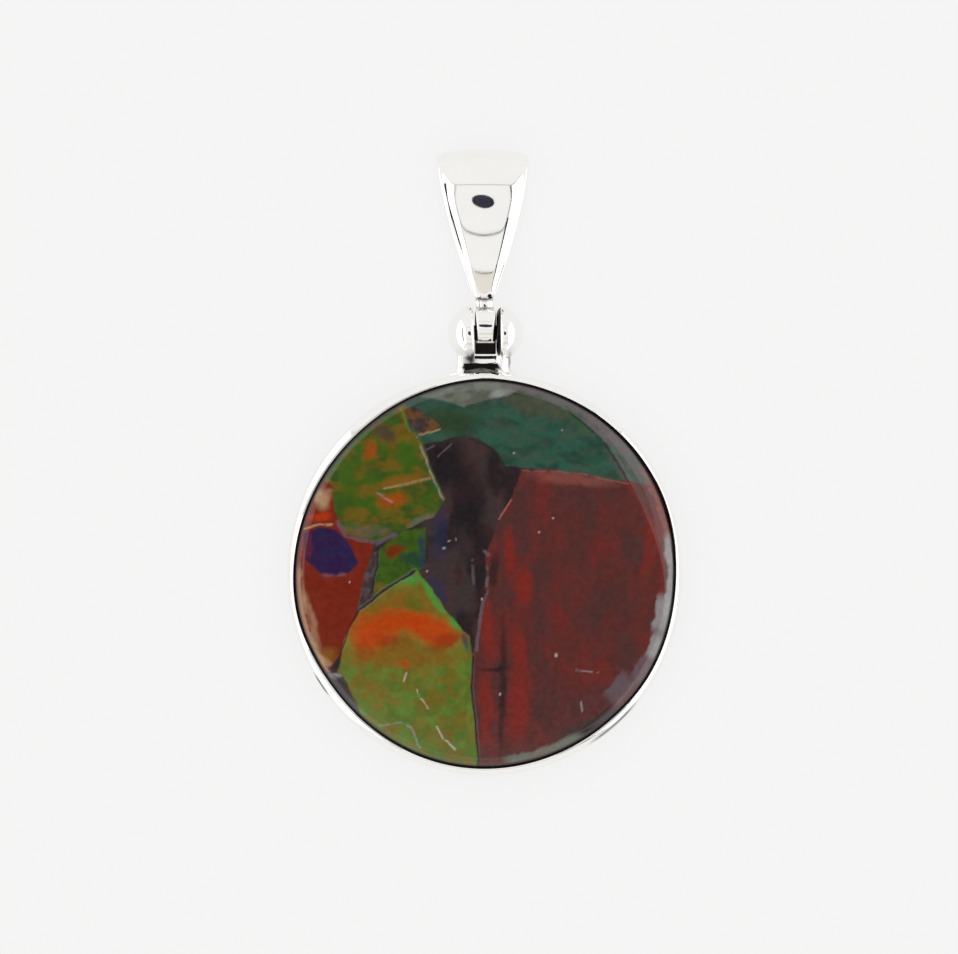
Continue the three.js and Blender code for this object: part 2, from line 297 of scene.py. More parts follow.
def add_tent():
    world = bpy.data.worlds.new("tent")
    world.use_nodes = True
    bpy.context.scene.world = world
    g = Graph(world.node_tree)
    ray = g.node("ShaderNodeSeparateXYZ", Vector=g.node("ShaderNodeTexCoord").outputs["Generated"]).outputs
    up = g.math("MAXIMUM", ray["Z"], LOWEST_RISE)
    across = g.math("DIVIDE", ray["X"], up)
    along = g.math("DIVIDE", ray["Y"], up)
    side = g.math("ABSOLUTE", across)
    below = g.times(along, -1.0)

    def beyond(value, edge, soft=SOFT):
        return g.ramp(value, edge, edge + soft)

    def until(value, edge, soft=SOFT):
        return g.ramp(value, edge, edge + soft, 1.0, 0.0)

    def line(distance, half_width, soft=SOFT):
        return until(g.math("ABSOLUTE", distance), half_width, soft)

    # the column of panels in the middle widens above the front panel, and below the last seam
    past_seam = g.math("MAXIMUM", g.minus(below, LOW_SEAM), 0.0)
    spread = g.ramp(across, -SOFT, SOFT, LOW_SPREAD_LEFT, LOW_SPREAD_RIGHT)
    half = g.math("MAXIMUM", along, g.add(g.times(past_seam, spread), PANEL_HALF))
    out = g.minus(side, half)
    in_column = until(out, 0)
    on_left = until(across, 0)
    on_right = beyond(across, 0)

    # the front panel's lower edge is a dark band with rounded corners
    inner = PANEL_HALF - PANEL_CORNER
    from_corner = g.length(g.math("MAXIMUM", g.minus(side, inner), 0.0),
                           g.math("MAXIMUM", g.minus(below, inner), 0.0))
    panel_edge = line(g.minus(from_corner, PANEL_CORNER), PANEL_EDGE_HALF, 0.006)
    low_seam = line(g.minus(below, LOW_SEAM), LOW_SEAM_HALF, 0.006)
    right_seam = line(g.minus(out, RIGHT_SEAM_OUT), RIGHT_SEAM_HALF)
    far_seam = line(g.add(across, FAR_SEAM), FAR_SEAM_HALF)

    light = g.mix(beyond(out, 0), PANEL_LIGHT, SIDE_LIGHT)
    for share, color in (
        (g.times(in_column, beyond(below, LOW_SEAM), until(below, LOW_END, 0.2)), LOW_LIGHT),
        (g.times(line(out, SEAM_HALF), on_left), LEFT_SEAM_GREY),
        (g.times(line(out, SEAM_HALF), on_right), RIGHT_SEAM_GREY),
        (g.times(line(g.minus(along, PANEL_HALF), SEAM_HALF), in_column), TOP_SEAM_GREY),
        (g.times(right_seam, beyond(below, RIGHT_SEAM_START), on_right), DARK),
        (g.times(panel_edge, beyond(below, inner, 0.1), in_column), DARK),
        (g.times(low_seam, until(side, LOW_SEAM_REACH, 0.07)), DARK),
        (g.times(far_seam, until(below, FAR_SEAM_LOW, 0.2), until(along, FAR_SEAM_HIGH, 0.2)), DARK),
    ):
        light = g.mix(share, light, color)

    leant = g.add(along, g.times(across, LENS_LEAN))
    from_lens = g.length(across, g.times(leant, LENS_FLATNESS))
    lens = g.mix(beyond(from_lens, LENS_RADIUS - LENS_RING, LENS_RING / 2), LENS_GLASS, DARK)
    light = g.mix(until(from_lens, LENS_RADIUS - LENS_BLUR, 2 * LENS_BLUR), light, lens)

    seen = g.node("ShaderNodeLightPath").outputs["Is Camera Ray"]
    background = g.node("ShaderNodeBackground", Color=g.mix(seen, light, BACKGROUND))
    g.node("ShaderNodeOutputWorld", Surface=background.outputs[0])


# --- the floor

FLOOR_HALF = 600.0
CONTACT_REACH = 3.0  # how far the soft contact shadow spreads
CONTACT_SHADE = 0.93  # the floor's brightness where it is shut in


def add_floor():
    half = FLOOR_HALF * MM
    mesh = bpy.data.meshes.new("floor")
    corners = [(-half, -half, 0), (half, -half, 0), (half, half, 0), (-half, half, 0)]
    mesh.from_pydata(corners, [], [(0, 1, 2, 3)])
    floor = bpy.data.objects.new("floor", mesh)
    bpy.context.scene.collection.objects.link(floor)

    material, g = new_material("floor")
    open_share = g.node("ShaderNodeAmbientOcclusion", {"samples": 8}, Distance=CONTACT_REACH * MM)
    share = g.ramp(open_share.outputs["AO"], 0.0, 1.0, CONTACT_SHADE, 1.0)
    glow = g.node("ShaderNodeEmission", Color=BACKGROUND, Strength=share)
    g.node("ShaderNodeOutputMaterial", Surface=glow.outputs[0])
    mesh.materials.append(material)


# --- curves


def interpolate(pairs, at):
    """A value read off a list of (x, y) pairs, straight between them."""
    return np.interp(at, *zip(*pairs))


def smooth_read(pairs, at):
    """A value read off a list of (x, y) pairs on a smooth curve through them."""
    xs, ys = zip(*pairs)
    at = min(max(at, xs[0]), xs[-1])
    i = max(k for k in range(len(xs) - 1) if xs[k] <= at)

    def slope(k):
        if k == 0 or k == len(xs) - 1:
            j = min(k, len(xs) - 2)
            return (ys[j + 1] - ys[j]) / (xs[j + 1] - xs[j])
        return (ys[k + 1] - ys[k - 1]) / (xs[k + 1] - xs[k - 1])

    run = xs[i + 1] - xs[i]
    t = (at - xs[i]) / run
    return ((2 * t ** 3 - 3 * t ** 2 + 1) * ys[i] + (t ** 3 - 2 * t ** 2 + t) * run * slope(i)
            + (3 * t ** 2 - 2 * t ** 3) * ys[i + 1] + (t ** 3 - t ** 2) * run * slope(i + 1))


def bell(value, middle, spread):
    """1 at the middle, falling off smoothly to both sides."""
    return np.exp(-((value - middle) / spread) ** 2)


def smooth(value, low, high):
    t = np.clip((value - low) / (high - low), 0, 1)
    return t * t * (3 - 2 * t)


def arc(centre, radius, start, end, steps):
    """Points on an arc, angles in degrees."""
    angles = np.radians(np.linspace(start, end, steps + 1))
    return [(centre[0] + radius * cos(a), centre[1] + radius * sin(a)) for a in angles]


# --- mesh helpers


def band(ring, following, count):
    """The faces between two rings of count points each."""
    a = ring * count
    b = following * count
    turns = [(side, (side + 1) % count) for side in range(count)]
    return [(a + side, a + turn, b + turn, b + side) for side, turn in turns]


def close_end(points, faces, ring, count, middle, flip):
    """Closes a ring by a fan round its middle."""
    hub = len(points)
    points.append(middle)
    for side in range(count):
        a = ring * count + side
        b = ring * count + (side + 1) % count
        faces.append((b, a, hub) if flip else (a, b, hub))


def turned_rings(section, steps, place):
    return [[place(2 * pi * k / steps, radius, height) for k in range(steps)] for radius, height in section]


def skin(rings):
    """Points and faces of an open skin over rings that run the same way round."""
    count = len(rings[0])
    points = [point for ring in rings for point in ring]
    return points, [face for k in range(len(rings) - 1) for face in band(k, k + 1, count)]


def loft(name, rings):
    """A solid over rings, closed at both ends."""
    points, faces = skin(rings)
    for ring, flip in ((0, True), (len(rings) - 1, False)):
        middle = tuple(np.mean([tuple(p) for p in rings[ring]], axis=0))
        close_end(points, faces, ring, len(rings[0]), middle, flip)
    return new_object(name, points, faces)


def turned_ring(name, section, steps, place):
    """A closed section of (radius, height) pairs turned into a ring; place() gives the points."""
    rings = turned_rings(section, steps, place)
    points, faces = skin(rings)
    return new_object(name, points, faces + band(len(rings) - 1, 0, steps))


def turned_solid(name, section, steps, place):
    """A section of (radius, height) pairs from axis to axis, turned into a solid."""
    rings = turned_rings([pair for pair in section if pair[0] > 0], steps, place)
    points, faces = skin(rings)
    for ring, height, flip in ((0, section[0][1], True), (len(rings) - 1, section[-1][1], False)):
        close_end(points, faces, ring, steps, place(0, 0, height), flip)
    return new_object(name, points, faces)


def new_object(name, points, faces):
    """A closed mesh with its faces turned outward."""
    mesh = bpy.data.meshes.new(name)
    mesh.from_pydata([(p[0] * MM, p[1] * MM, p[2] * MM) for p in points], [], faces)
    mesh.update()
    obj = bpy.data.objects.new(name, mesh)
    bpy.context.scene.collection.objects.link(obj)
    work = bmesh.new()
    work.from_mesh(mesh)
    bmesh.ops.recalc_face_normals(work, faces=work.faces)
    work.to_mesh(mesh)
    work.free()
    return obj


def combine(base, other, operation):
    """base with another object joined to it or cut out of it. The other one is used up."""
    modifier = base.modifiers.new("combine", "BOOLEAN")
    modifier.operation = operation
    modifier.solver = "EXACT"
    modifier.object = other
    graph = bpy.context.evaluated_depsgraph_get()
    made = bpy.data.meshes.new_from_object(base.evaluated_get(graph))
    base.modifiers.clear()
    base.data = made
    bpy.data.objects.remove(other)
    return base


def finish_piece(obj, body, node, material, sharp=32):
    """Shades the piece, gives it its material and puts it on its body in place of its CAD node."""
    obj.data.materials.clear()
    obj.data.materials.append(material)
    obj.data.shade_smooth()
    obj.data.set_sharp_from_angle(angle=radians(sharp))
    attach(obj, body)
    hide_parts(node)


# --- silver

# The colour that painted shade and painted dark reflections darken the silver towards.
PAINTED_SHADE_COLOR = (0.014, 0.011, 0.011, 1)
# Colour and roughness of each piece's silver
SILVER = {
    "bezel_silver": ((0.95, 0.94, 0.92), 0.07),
    "plate_silver": ((0.93, 0.92, 0.9), 0.2),
    "hinge_silver": ((0.95, 0.94, 0.92), 0.07),
    "pin_silver": ((0.92, 0.91, 0.89), 0.1),
    "bail_silver": ((0.96, 0.95, 0.93), 0.06),
}


def silver(name):
    """Polished silver with faint hand-polishing marks, and painted shade and painted dark reflections where
    the piece has some.
    """
    color, roughness = SILVER[name]
    material, g = new_material(name)
    place = g.node("ShaderNodeTexCoord").outputs["Object"]
    cloud = g.noise(place, 900.0, 3.0)
    fine = g.noise(place, 9000.0, 2.0)
    tone = g.mix(g.ramp(cloud, 0.3, 0.7), tuple(c * 0.985 for c in color) + (1,), tuple(color) + (1,))
    rough = g.ramp(cloud, 0.3, 0.7, roughness * 0.8, roughness * 1.25)
    stretch = g.node("ShaderNodeMapping", Vector=place, Scale=(14000.0, 900.0, 900.0))
    marks = g.noise(stretch.outputs[0], 1.0, 2.0)
    height = g.add(g.times(cloud, 0.02), g.times(g.add(marks, fine), 0.0006))
    bump = g.node("ShaderNodeBump", Strength=0.25, Distance=0.00002, Height=height)
    # How much painted shade and painted dark reflection darken the silver here.
    amount = g.node("ShaderNodeAttribute", {"attribute_name": "painted_shade"}).outputs["Fac"]
    shader = g.node("ShaderNodeBsdfPrincipled", Base_Color=g.mix(amount, tone, PAINTED_SHADE_COLOR), Metallic=1.0,
                    Roughness=g.add(rough, g.times(amount, 0.3)), Normal=bump.outputs[0])
    g.node("ShaderNodeOutputMaterial", Surface=shader.outputs[0])
    return material


def add_painted_shade(obj, painted_shade_at):
    """A point attribute that says how strongly painted shade and painted dark reflections darken the silver;
    the given function works on x, y, z in millimetres.
    """
    mesh = obj.data
    co = np.zeros(len(mesh.vertices) * 3, np.float32)
    mesh.vertices.foreach_get("co", co)
    x, y, z = (co.reshape(-1, 3) / MM).T
    attribute = mesh.attributes.new("painted_shade", "FLOAT", "POINT")
    attribute.data.foreach_set("value", np.clip(painted_shade_at(x, y, z), 0, 1).astype(np.float32))


# --- the bezel

# Inner edge of the hand-rolled lip: (degrees clockwise from the top, radius before the oval).
LIP_EDGE = [(0, 9.96), (20, 9.90), (40, 9.97), (65, 9.99), (92, 9.84), (122, 9.90), (140, 9.84), (190, 9.92),
            (225, 9.78), (240, 9.80), (258, 9.97), (280, 9.90), (315, 9.75), (340, 9.84), (360, 9.96)]

# The rim in profile: (share of the way from the lip's inner edge to the outer wall, below the top).
RIM_PROFILE = [(1.0, 0.6), (1.0, 0.46), (0.95, 0.34), (0.85, 0.25), (0.7, 0.165), (0.55, 0.1), (0.4, 0.045),
               (0.27, 0.012), (0.17, 0.0), (0.1, 0.01), (0.03, 0.05), (0.0, 0.12), (0.0, 0.2), (0.06, 0.27)]
RIM_DEPTH = 0.3  # the hand-made part of the rim, which carries the painted dark reflections, reaches down this far
LIP_THICKNESS = 0.5

# Painted dark reflections on the rim, as thin dark streaks: (degrees clockwise from the top, half length in
# degrees, radius, half width).
RIM_DARK_REFLECTIONS = [(139, 10, 10.2, 0.055), (236.5, 4, 10.25, 0.06)]


def clockwise(angle):
    """Degrees clockwise from the top, of an angle counted from +X."""
    return (90 - np.degrees(angle)) % 360


def lip_radius(angle):
    """The radius of the lip's inner edge, for one angle."""
    return smooth_read(LIP_EDGE, clockwise(angle))


def lip_radii(degrees):
    """The lip's radius for many angles at once, in degrees clockwise from the top."""
    return np.interp(degrees, range(361), [smooth_read(LIP_EDGE, degree) for degree in range(361)])


def waviness(angle, seed):
    """A hand-made unevenness of a few hundredths, between -1 and 1."""
    return sum(sin(n * angle + seed * n * 1.7) / n ** 0.5 for n in (2, 3, 5, 8, 13)) / 2.6


def outer_radius(angle):
    """The outside of the wall, thinner on the right."""
    return BAND_RADIUS - THIN_SIDE * bell(clockwise(angle), THIN_SIDE_MIDDLE, THIN_SIDE_SPREAD)


def on_oval(angle, radius, height):
    return radius * cos(angle), radius * OVAL * sin(angle), height


def bezel_wall():
    foot = BAND_LOW.z
    section = [(None, foot), (1.0, foot)]
    section += [(1.0, foot + WALL_STEP * k) for k in range(1, 10)]
    section += [(share, BAND_TOP - drop) for share, drop in RIM_PROFILE]
    section += [(None, BAND_TOP - LIP_THICKNESS)]

    def place(angle, share, height):
        if share is None:
            return on_oval(angle, BAND_INNER_RADIUS, height)
        lip = lip_radius(angle)
        radius = lip + share * (outer_radius(angle) - lip)
        if height > BAND_TOP - RIM_DEPTH:
            radius += 0.004 * waviness(angle, height * 3)
        return on_oval(angle, radius, height)

    # Painted dark reflections: thin dark streaks high on the rim.
    def painted_dark_reflections(x, y, z):
        degrees = clockwise(np.arctan2(y / OVAL, x))
        radius = np.hypot(x, y / OVAL)
        dark = np.zeros(len(x))
        for middle, half_length, at, half_width in RIM_DARK_REFLECTIONS:
            along = np.clip(2 - 2 * np.abs(degrees - middle) / half_length, 0, 1)
            dark += along * bell(radius, at, half_width) * (z > BAND_TOP - RIM_DEPTH)
        return dark

    obj = turned_ring("bezel_wall_look", section, ROUND_STEPS, place)
    add_painted_shade(obj, painted_dark_reflections)
    finish_piece(obj, "setting", "bezel_wall", silver("bezel_silver"))


def back_plate():
    radius = PLATE_HIGH.x
    top = PLATE_HIGH.z
    edge = PLATE_ROUNDING
    section = [(0, 0)] + [(radius * share, 0.0) for share in (0.3, 0.6, 0.85, 0.95)]
    section += arc((radius - edge, edge), edge, -90, 0, 5)
    section += arc((radius - edge / 2, top - edge / 2), edge / 2, 0, 90, 4) + [(radius * 0.9, top), (0, top)]

    def place(angle, distance, height):
        if distance > radius * 0.9:
            distance -= BAND_RADIUS - outer_radius(angle)
        return on_oval(angle, distance, height)

    obj = turned_solid("back_plate_look", section, ROUND_STEPS, place)
    finish_piece(obj, "setting", "back_plate", silver("plate_silver"))


# --- the hinge


def oval_ring(x, y, tall, deep, steps):
    """An oval ring at x, from its top on: tall along Y round y, and deep along Z round the hinge axis."""
    turns = [2 * pi * step / steps for step in range(steps)]
    return [(x, y + tall * cos(turn), HINGE.z + deep * sin(turn)) for turn in turns]


def ball(side):
    """Half a ball cut flat at its inner face: ellipses along X, fullest a little out from the face."""
    centre = BALLS_X + side * BALL_SPACING / 2
    flat_x = EAR_GAP_X + side * EAR_GAP / 2
    length = side * (centre - flat_x) + BALL_RADIUS
    rings = []
    for k in range(BALL_RINGS):
        out = length * (1 - cos(pi * k / (2 * BALL_RINGS - 2))) if k else 0.0
        out = min(out, length * 0.9995)
        x = flat_x + side * out
        tall = sqrt(max(BALL_RADIUS ** 2 - (x - centre) ** 2, 1e-5))
        past = max(out - BALL_CREST, 0.0) / (length - BALL_CREST)
        deep = BALL_RADIUS * sqrt(1 - past ** 2)
        corner = max(1 - out / BALL_ROUNDING, 0.0)
        inset = BALL_ROUNDING * 0.6 * (1 - sqrt(1 - corner ** 2))
        ring = []
        for _, y, z in oval_ring(x, HINGE.y - BALLS_DROP, tall - inset, deep - inset, BALL_STEPS):
            above = max(y - LEAN_START_Y, 0.0) if side < 0 else 0.0
            ring.append((x - FACE_LEAN * above * (1 - out / length), y, z))
        rings.append(ring)
    return loft("ball", rings)


def post(side):
    """A round post that flares into the base and into the ball above it."""
    centre = BASE_X + side * POST_SPACING / 2
    section = [(0, BASE_VALLEY_Y), (POST_RADIUS + 0.05, BASE_VALLEY_Y),
               (POST_RADIUS + 0.02, BASE_TOP_Y - 0.05), (POST_RADIUS, BASE_TOP_Y + 0.1),
               (POST_RADIUS, HINGE.y - 0.5), (0, HINGE.y - 0.4)]

    def place(angle, radius, height):
        return centre + radius * cos(angle), height, HINGE.z + radius * sin(angle)

    return turned_solid("post", section, POST_STEPS, place)


def hinge_base():
    """The base: its outline seen from the front draws in to a small flat on its front and its back."""
    band_y = BAND_RADIUS * OVAL
    side = BASE_HALF_WIDTH
    flare = FLARE_HALF_WIDTH
    half = [(flare, band_y - 0.5), (flare, band_y - 0.1), (flare - 0.2, band_y), (side + 0.06, band_y + 0.08),
            (side, FLARE_TOP_Y + 0.1), (side - 0.01, BASE_TOP_Y - 0.1), (side - 0.1, BASE_TOP_Y)]
    dip = []
    for k in range(1, 12):
        share = 1 - 2 * k / 12
        rise = abs(share) ** 1.2
        dip.append((share * (side - 0.2), BASE_VALLEY_Y + (BASE_TOP_Y - BASE_VALLEY_Y) * rise))
    outline = [(BASE_X + x, y) for x, y in half + dip + [(-x, y) for x, y in reversed(half)]]
    # (how far the outline has drawn in, share of the half depth)
    front = [(0, 0), (0.05, 0.3), (0.15, 0.55), (0.35, 0.78), (0.6, 0.91), (0.85, 0.98), (1, 1)]
    rings = []
    for drawn, depth in [(drawn, -depth) for drawn, depth in reversed(front[1:])] + front:
        z = HINGE.z + depth * BASE_DEPTH / 2
        ring = []
        for x, y in outline:
            flat_x = min(max(x, BASE_FLAT_LEFT), BASE_FLAT_RIGHT)
            flat_y = min(y, BASE_FLAT_TOP)
            ring.append((x + drawn * (flat_x - x), y + drawn * (flat_y - y), z))
        rings.append(ring)
    middle_x = (BASE_FLAT_LEFT + BASE_FLAT_RIGHT) / 2
    middle_y = BASE_FLAT_TOP - 0.2
    for place, ring in ((0, rings[0]), (len(rings) + 1, rings[-1])):
        inner = [(middle_x + 0.9 * (x - middle_x), middle_y + 0.9 * (y - middle_y), z) for x, y, z in ring]
        rings.insert(place, inner)
    return loft("base", rings)


def along_axle(angle, radius, height):
    return height, HINGE.y + radius * cos(angle), HINGE.z + radius * sin(angle)


def bore(radius):
    """A rod along the hinge axis, longer than the hinge is wide, that is cut out of a piece."""
    return turned_solid("bore", [(0, -3), (radius, -3), (radius, 3), (0, 3)], BORE_STEPS, along_axle)


def web():
    """The rounded web of solder that joins the posts under the eye."""
    low_y = BASE_VALLEY_Y - 0.1
    rings = []
    for k in range(WEB_RINGS):
        share = 2 * k / (WEB_RINGS - 1) - 1
        tall = (HINGE.y - WEB_TOP - low_y) * (0.96 + 0.04 * abs(share) ** 1.5)
        rings.append(oval_ring(BASE_X + share * POST_SPACING / 2, low_y, tall, WEB_HALF_DEPTH, WEB_STEPS))
    return loft("web", rings)


def boss():
    """A low rounded boss, thickest at the pin, that fills the gap on the right of the eye."""
    flat_x = EAR_GAP_X + EAR_GAP / 2
    section = [(0, BOSS_X)]
    for k in range(1, BOSS_RINGS + 1):
        share = k / BOSS_RINGS
        section.append((BOSS_RADIUS * share, flat_x - (flat_x - BOSS_X) * (1 - share ** 9)))
    section += [(BOSS_RADIUS * 0.9, flat_x + 0.1), (0, flat_x + 0.1)]
    return turned_solid("boss", section, BALL_STEPS, along_axle)


def gap_block():
    """What is cut away between the posts, so that the eye can turn."""
    low_y = HINGE.y - EAR_GAP_REACH
    points = [(EAR_GAP_X + x * EAR_GAP / 2, y, HINGE.z + z * BALL_RADIUS)
              for x in (-1, 1) for y in (low_y, HINGE.y + BALL_RADIUS) for z in (-1, 1)]
    faces = [(0, 1, 3, 2), (4, 6, 7, 5), (0, 4, 5, 1), (2, 3, 7, 6), (0, 2, 6, 4), (1, 5, 7, 3)]
    return new_object("gap", points, faces)


def hinge_painted_shade(x, y, z):
    """Painted shade at the posts' feet and on the faces inside the gap, and painted dark reflections on the
    base's flat and along the right post.
    """
    at_feet = bell(y, 11.1, 0.4)
    inner_post = bell(x, -0.82, 0.3) * at_feet
    outer_line = bell(x, 1.25, 0.09) * at_feet
    on_flat = (z > HINGE.z + 0.43) & (y > FLARE_TOP_Y - 0.05) & (y < BASE_FLAT_TOP + 0.02)
    from_axis = np.hypot(y - HINGE.y, z - HINGE.z)
    in_gap = (np.abs(x - EAR_GAP_X) < EAR_GAP / 2 + 0.01) & (from_axis < BOSS_RADIUS + 0.01)
    gap_face = in_gap & (y > HINGE.y - WEB_TOP + 0.02)
    # inner_post and gap_face are painted shade; on_flat and outer_line are painted dark reflections.
    return 0.85 * inner_post + 0.7 * outer_line + 1.1 * on_flat + gap_face


def hinge_bracket():
    bracket = hinge_base()
    for side in (-1, 1):
        combine(bracket, post(side), "UNION")
    combine(bracket, gap_block(), "DIFFERENCE")
    combine(bracket, web(), "UNION")
    for side in (-1, 1):
        combine(bracket, ball(side), "UNION")
    combine(bracket, boss(), "UNION")
    combine(bracket, bore(PIN_RADIUS + PIN_CLEARANCE), "DIFFERENCE")
    add_painted_shade(bracket, hinge_painted_shade)
    bracket.name = "hinge_bracket_look"
    finish_piece(bracket, "setting", "hinge_bracket", silver("hinge_silver"))


def hinge_pin():
    """The pin: its ends are domed flush with the balls."""
    middle = (PIN_HIGH.x + PIN_LOW.x) / 2
    radii = (PIN_RADIUS - 0.012, 0.3, 0.2, 0.1)
    dome = [(r, BALL_SPACING / 2 + sqrt(BALL_RADIUS ** 2 - r ** 2)) for r in radii]
    end = (PIN_HIGH.x - PIN_LOW.x) / 2
    shafts = [PIN_BARE_HALF - 0.01, PIN_BARE_HALF, dome[0][1] - 0.012]
    section = [(0, -end)] + [(r, -h) for r, h in reversed(dome)]
    section += [(PIN_RADIUS, -at) for at in reversed(shafts)] + [(PIN_RADIUS, at) for at in shafts]
    section += dome + [(0, end)]

    def place(angle, radius, height):
        return along_axle(angle, radius, middle + height)

    obj = turned_solid("hinge_pin_look", section, POST_STEPS, place)
    # Painted shade on the pin where it lies bare in the gap between the balls.
    add_painted_shade(obj, lambda x, y, z: 0.97 * (np.abs(x - EAR_GAP_X) < EAR_GAP / 2 + 0.12))
    finish_piece(obj, "setting", "hinge_pin", silver("pin_silver"))


# --- the bail

# How far the strap's side leans out going down, at a height above the hinge axis.
STRAP_LEAN = [(1.62, 0.508), (3.04, 0.401), (4.0, 0.325), (4.99, 0.25), (5.7, 0.19), (6.3, 0.115),
              (6.71, 0.0285), (6.89, 0.0)]
QUARTER_ROUND = 0.5523  # a cubic curve's reach for a quarter of a circle

# The neck from the side, (height, half depth), and half the eye's rim across, (share of it, moved in by).
NECK = [(2.25, 0.55), (1.95, 0.5), (1.75, 0.49), (1.55, 0.515), (1.4, 0.53), (1.3, 0.52)]
EYE_RIM = [(-1.0, 0.085), (-0.985, 0.055), (-0.94, 0.03), (-0.86, 0.017), (-0.7, 0.011), (-0.5, 0.006),
           (-0.3, 0.002), (-0.15, 0.0), (0.0, 0.0)]
EYE_START = 52.0  # degrees, where the eye's round begins
CORE_RIM = [(-1.0, 0.05), (-0.97, 0.02), (-0.9, 0.0)]
CORE_BARE_BELOW = -0.54  # the core shows all round below this height


def cubic(p0, p1, p2, p3, t):
    point = (1 - t) ** 3 * p0 + 3 * (1 - t) ** 2 * t * p1 + 3 * (1 - t) * t ** 2 * p2 + t ** 3 * p3
    slope = 3 * (1 - t) ** 2 * (p1 - p0) + 6 * (1 - t) * t * (p2 - p1) + 3 * t ** 2 * (p3 - p2)
    return point, slope.normalized()


def strap_path():
    """Points and tangents of the strap's outer middle line, (depth, height), from front foot to back foot."""
    height = BAIL_SHOULDER
    depth = BAIL_HALF_DEPTH
    fall = (BAIL_SHOULDER - BAIL_FOOT_HEIGHT) / STRAP_LOW_STEPS
    lower = []
    for _ in range(STRAP_LOW_STEPS):
        depth -= fall * smooth_read(STRAP_LEAN, height - fall / 2)
        height -= fall
        lower.append((Vector((depth, height)), Vector((smooth_read(STRAP_LEAN, height), 1)).normalized()))
    shoulder = Vector((BAIL_HALF_DEPTH, BAIL_SHOULDER))
    upper = (shoulder, shoulder + Vector((0, CROWN_REACH)),
             Vector((BAIL_HALF_DEPTH * QUARTER_ROUND, BAIL_HEIGHT)), Vector((0, BAIL_HEIGHT)))
    path = lower[::-1] + [cubic(*upper, k / STRAP_HIGH_STEPS) for k in range(STRAP_HIGH_STEPS)]
    top = [cubic(*upper, 1.0)]
    mirrored = [(Vector((-p.x, p.y)), Vector((t.x, -t.y))) for p, t in reversed(path)]
    return path + top + mirrored


def strap_section(point, tangent, squeeze):
    """One section of the strap: a crowned outside, rounded edges and a flat inside."""
    height = point.y
    crown = smooth_read(STRAP_CROWNS, height)
    middle = smooth_read(BAIL_MIDDLES, height)
    rounding = STRAP_ROUNDING
    flat = smooth_read(STRAP_HALF_WIDTHS, height) * squeeze - rounding
    thickness = STRAP_EDGE * squeeze
    sunk = STRAP_EDGE * (1 - squeeze) / 2
    turn = min(EDGE_TURN, flat)
    edge_drop = EDGE_TURN_DROP * (1 + LOW_EDGE_TURN * smooth(LOW_EDGE_HEIGHT - height, 0.0, 1.2))
    outline = []
    for k in range(STRAP_ACROSS + 1):
        across = 1 - 2 * k / STRAP_ACROSS
        past = max(abs(across) * flat - flat + turn, 0.0)
        outline.append((across * flat, -crown * across * across - edge_drop * past * past - sunk))
    low = -crown - edge_drop * turn * turn - sunk
    depth = min(rounding, thickness / 2)
    left = [(-flat - rounding * sin(a), low - depth * (1 - cos(a)))
            for a in np.radians(np.linspace(12, 90, 7))]
    left += [(-flat - rounding * cos(a), low - thickness + depth * (1 - sin(a)))
             for a in np.radians(np.linspace(6, 90, 7))]
    inside = [(flat * u, low - thickness) for u in (-0.6, -0.2, 0.2, 0.6)]
    outline += left + inside + [(-x, out) for x, out in reversed(left)]
    return [(middle + x, HINGE.y + point.y - tangent.x * out, HINGE.z + point.x + tangent.y * out)
            for x, out in outline]


def strap():
    path = strap_path()
    lengths = [0.0]
    for (p, _), (q, _) in zip(path, path[1:]):
        lengths.append(lengths[-1] + (q - p).length)
    rings = []
    for (point, tangent), length in zip(path, lengths):
        share = min(1.0, min(length, lengths[-1] - length) / STRAP_TIP)
        squeeze = 0.3 + 0.7 * sqrt(1 - (1 - share) ** 2)
        rings.append(strap_section(point, tangent, squeeze))
    return loft("strap", rings)


def mirrored_rim(rim):
    """Steps across a rim from one side to the other, given those up to its middle."""
    return rim + [(-share, inset) for share, inset in reversed(rim) if share < 0]


def eye_outline(inset):
    """The eye's round and the neck seen from the side, (depth, height), moved in by inset."""
    radius = EYE_RADIUS - inset
    outline = [(depth - inset, height) for height, depth in NECK]
    outline += [(radius * cos(a), EYE_RISE + radius * sin(a))
                for a in np.radians(np.linspace(EYE_START, -180 - EYE_START, EYE_STEPS))]
    outline += [(-(depth - inset), height) for height, depth in reversed(NECK)]
    return outline


def eye_core():
    """The core behind the eye's bright front, darkened with painted shade: an oval disc round the pin with
    rounded edges.
    """
    middle = (CORE_LEFT + CORE_RIGHT) / 2
    half = (CORE_RIGHT - CORE_LEFT) / 2
    tall = CORE_RADIUS
    deep = CORE_HALF_DEPTH
    rings = [oval_ring(middle + share * half, HINGE.y, tall - inset, deep - inset, CORE_STEPS)
             for share, inset in mirrored_rim(CORE_RIM)]
    return loft("core", rings)


def eye_and_neck():
    """The eye on the pin and the neck up to the strap, with a slightly domed rim and rounded edges."""
    rings = []
    for share, inset in mirrored_rim(EYE_RIM):
        ring = []
        for depth, height in eye_outline(inset):
            on_neck = smooth(height, 1.0, 1.35)
            half = interpolate(EYE_HALF_WIDTHS, height) * (1 - NECK_NARROWING * on_neck)
            sunk = on_neck * (NECK_ROUND - sqrt(NECK_ROUND ** 2 - (share * half) ** 2))
            x = interpolate(BAIL_MIDDLES, height) + share * half
            ring.append((x, HINGE.y + height, HINGE.z + copysign(max(abs(depth) - sunk, 0.05), depth)))
        rings.append(ring)
    eye = combine(loft("eye", rings), eye_core(), "UNION")
    return combine(eye, bore(EYE_BORE_RADIUS), "DIFFERENCE")


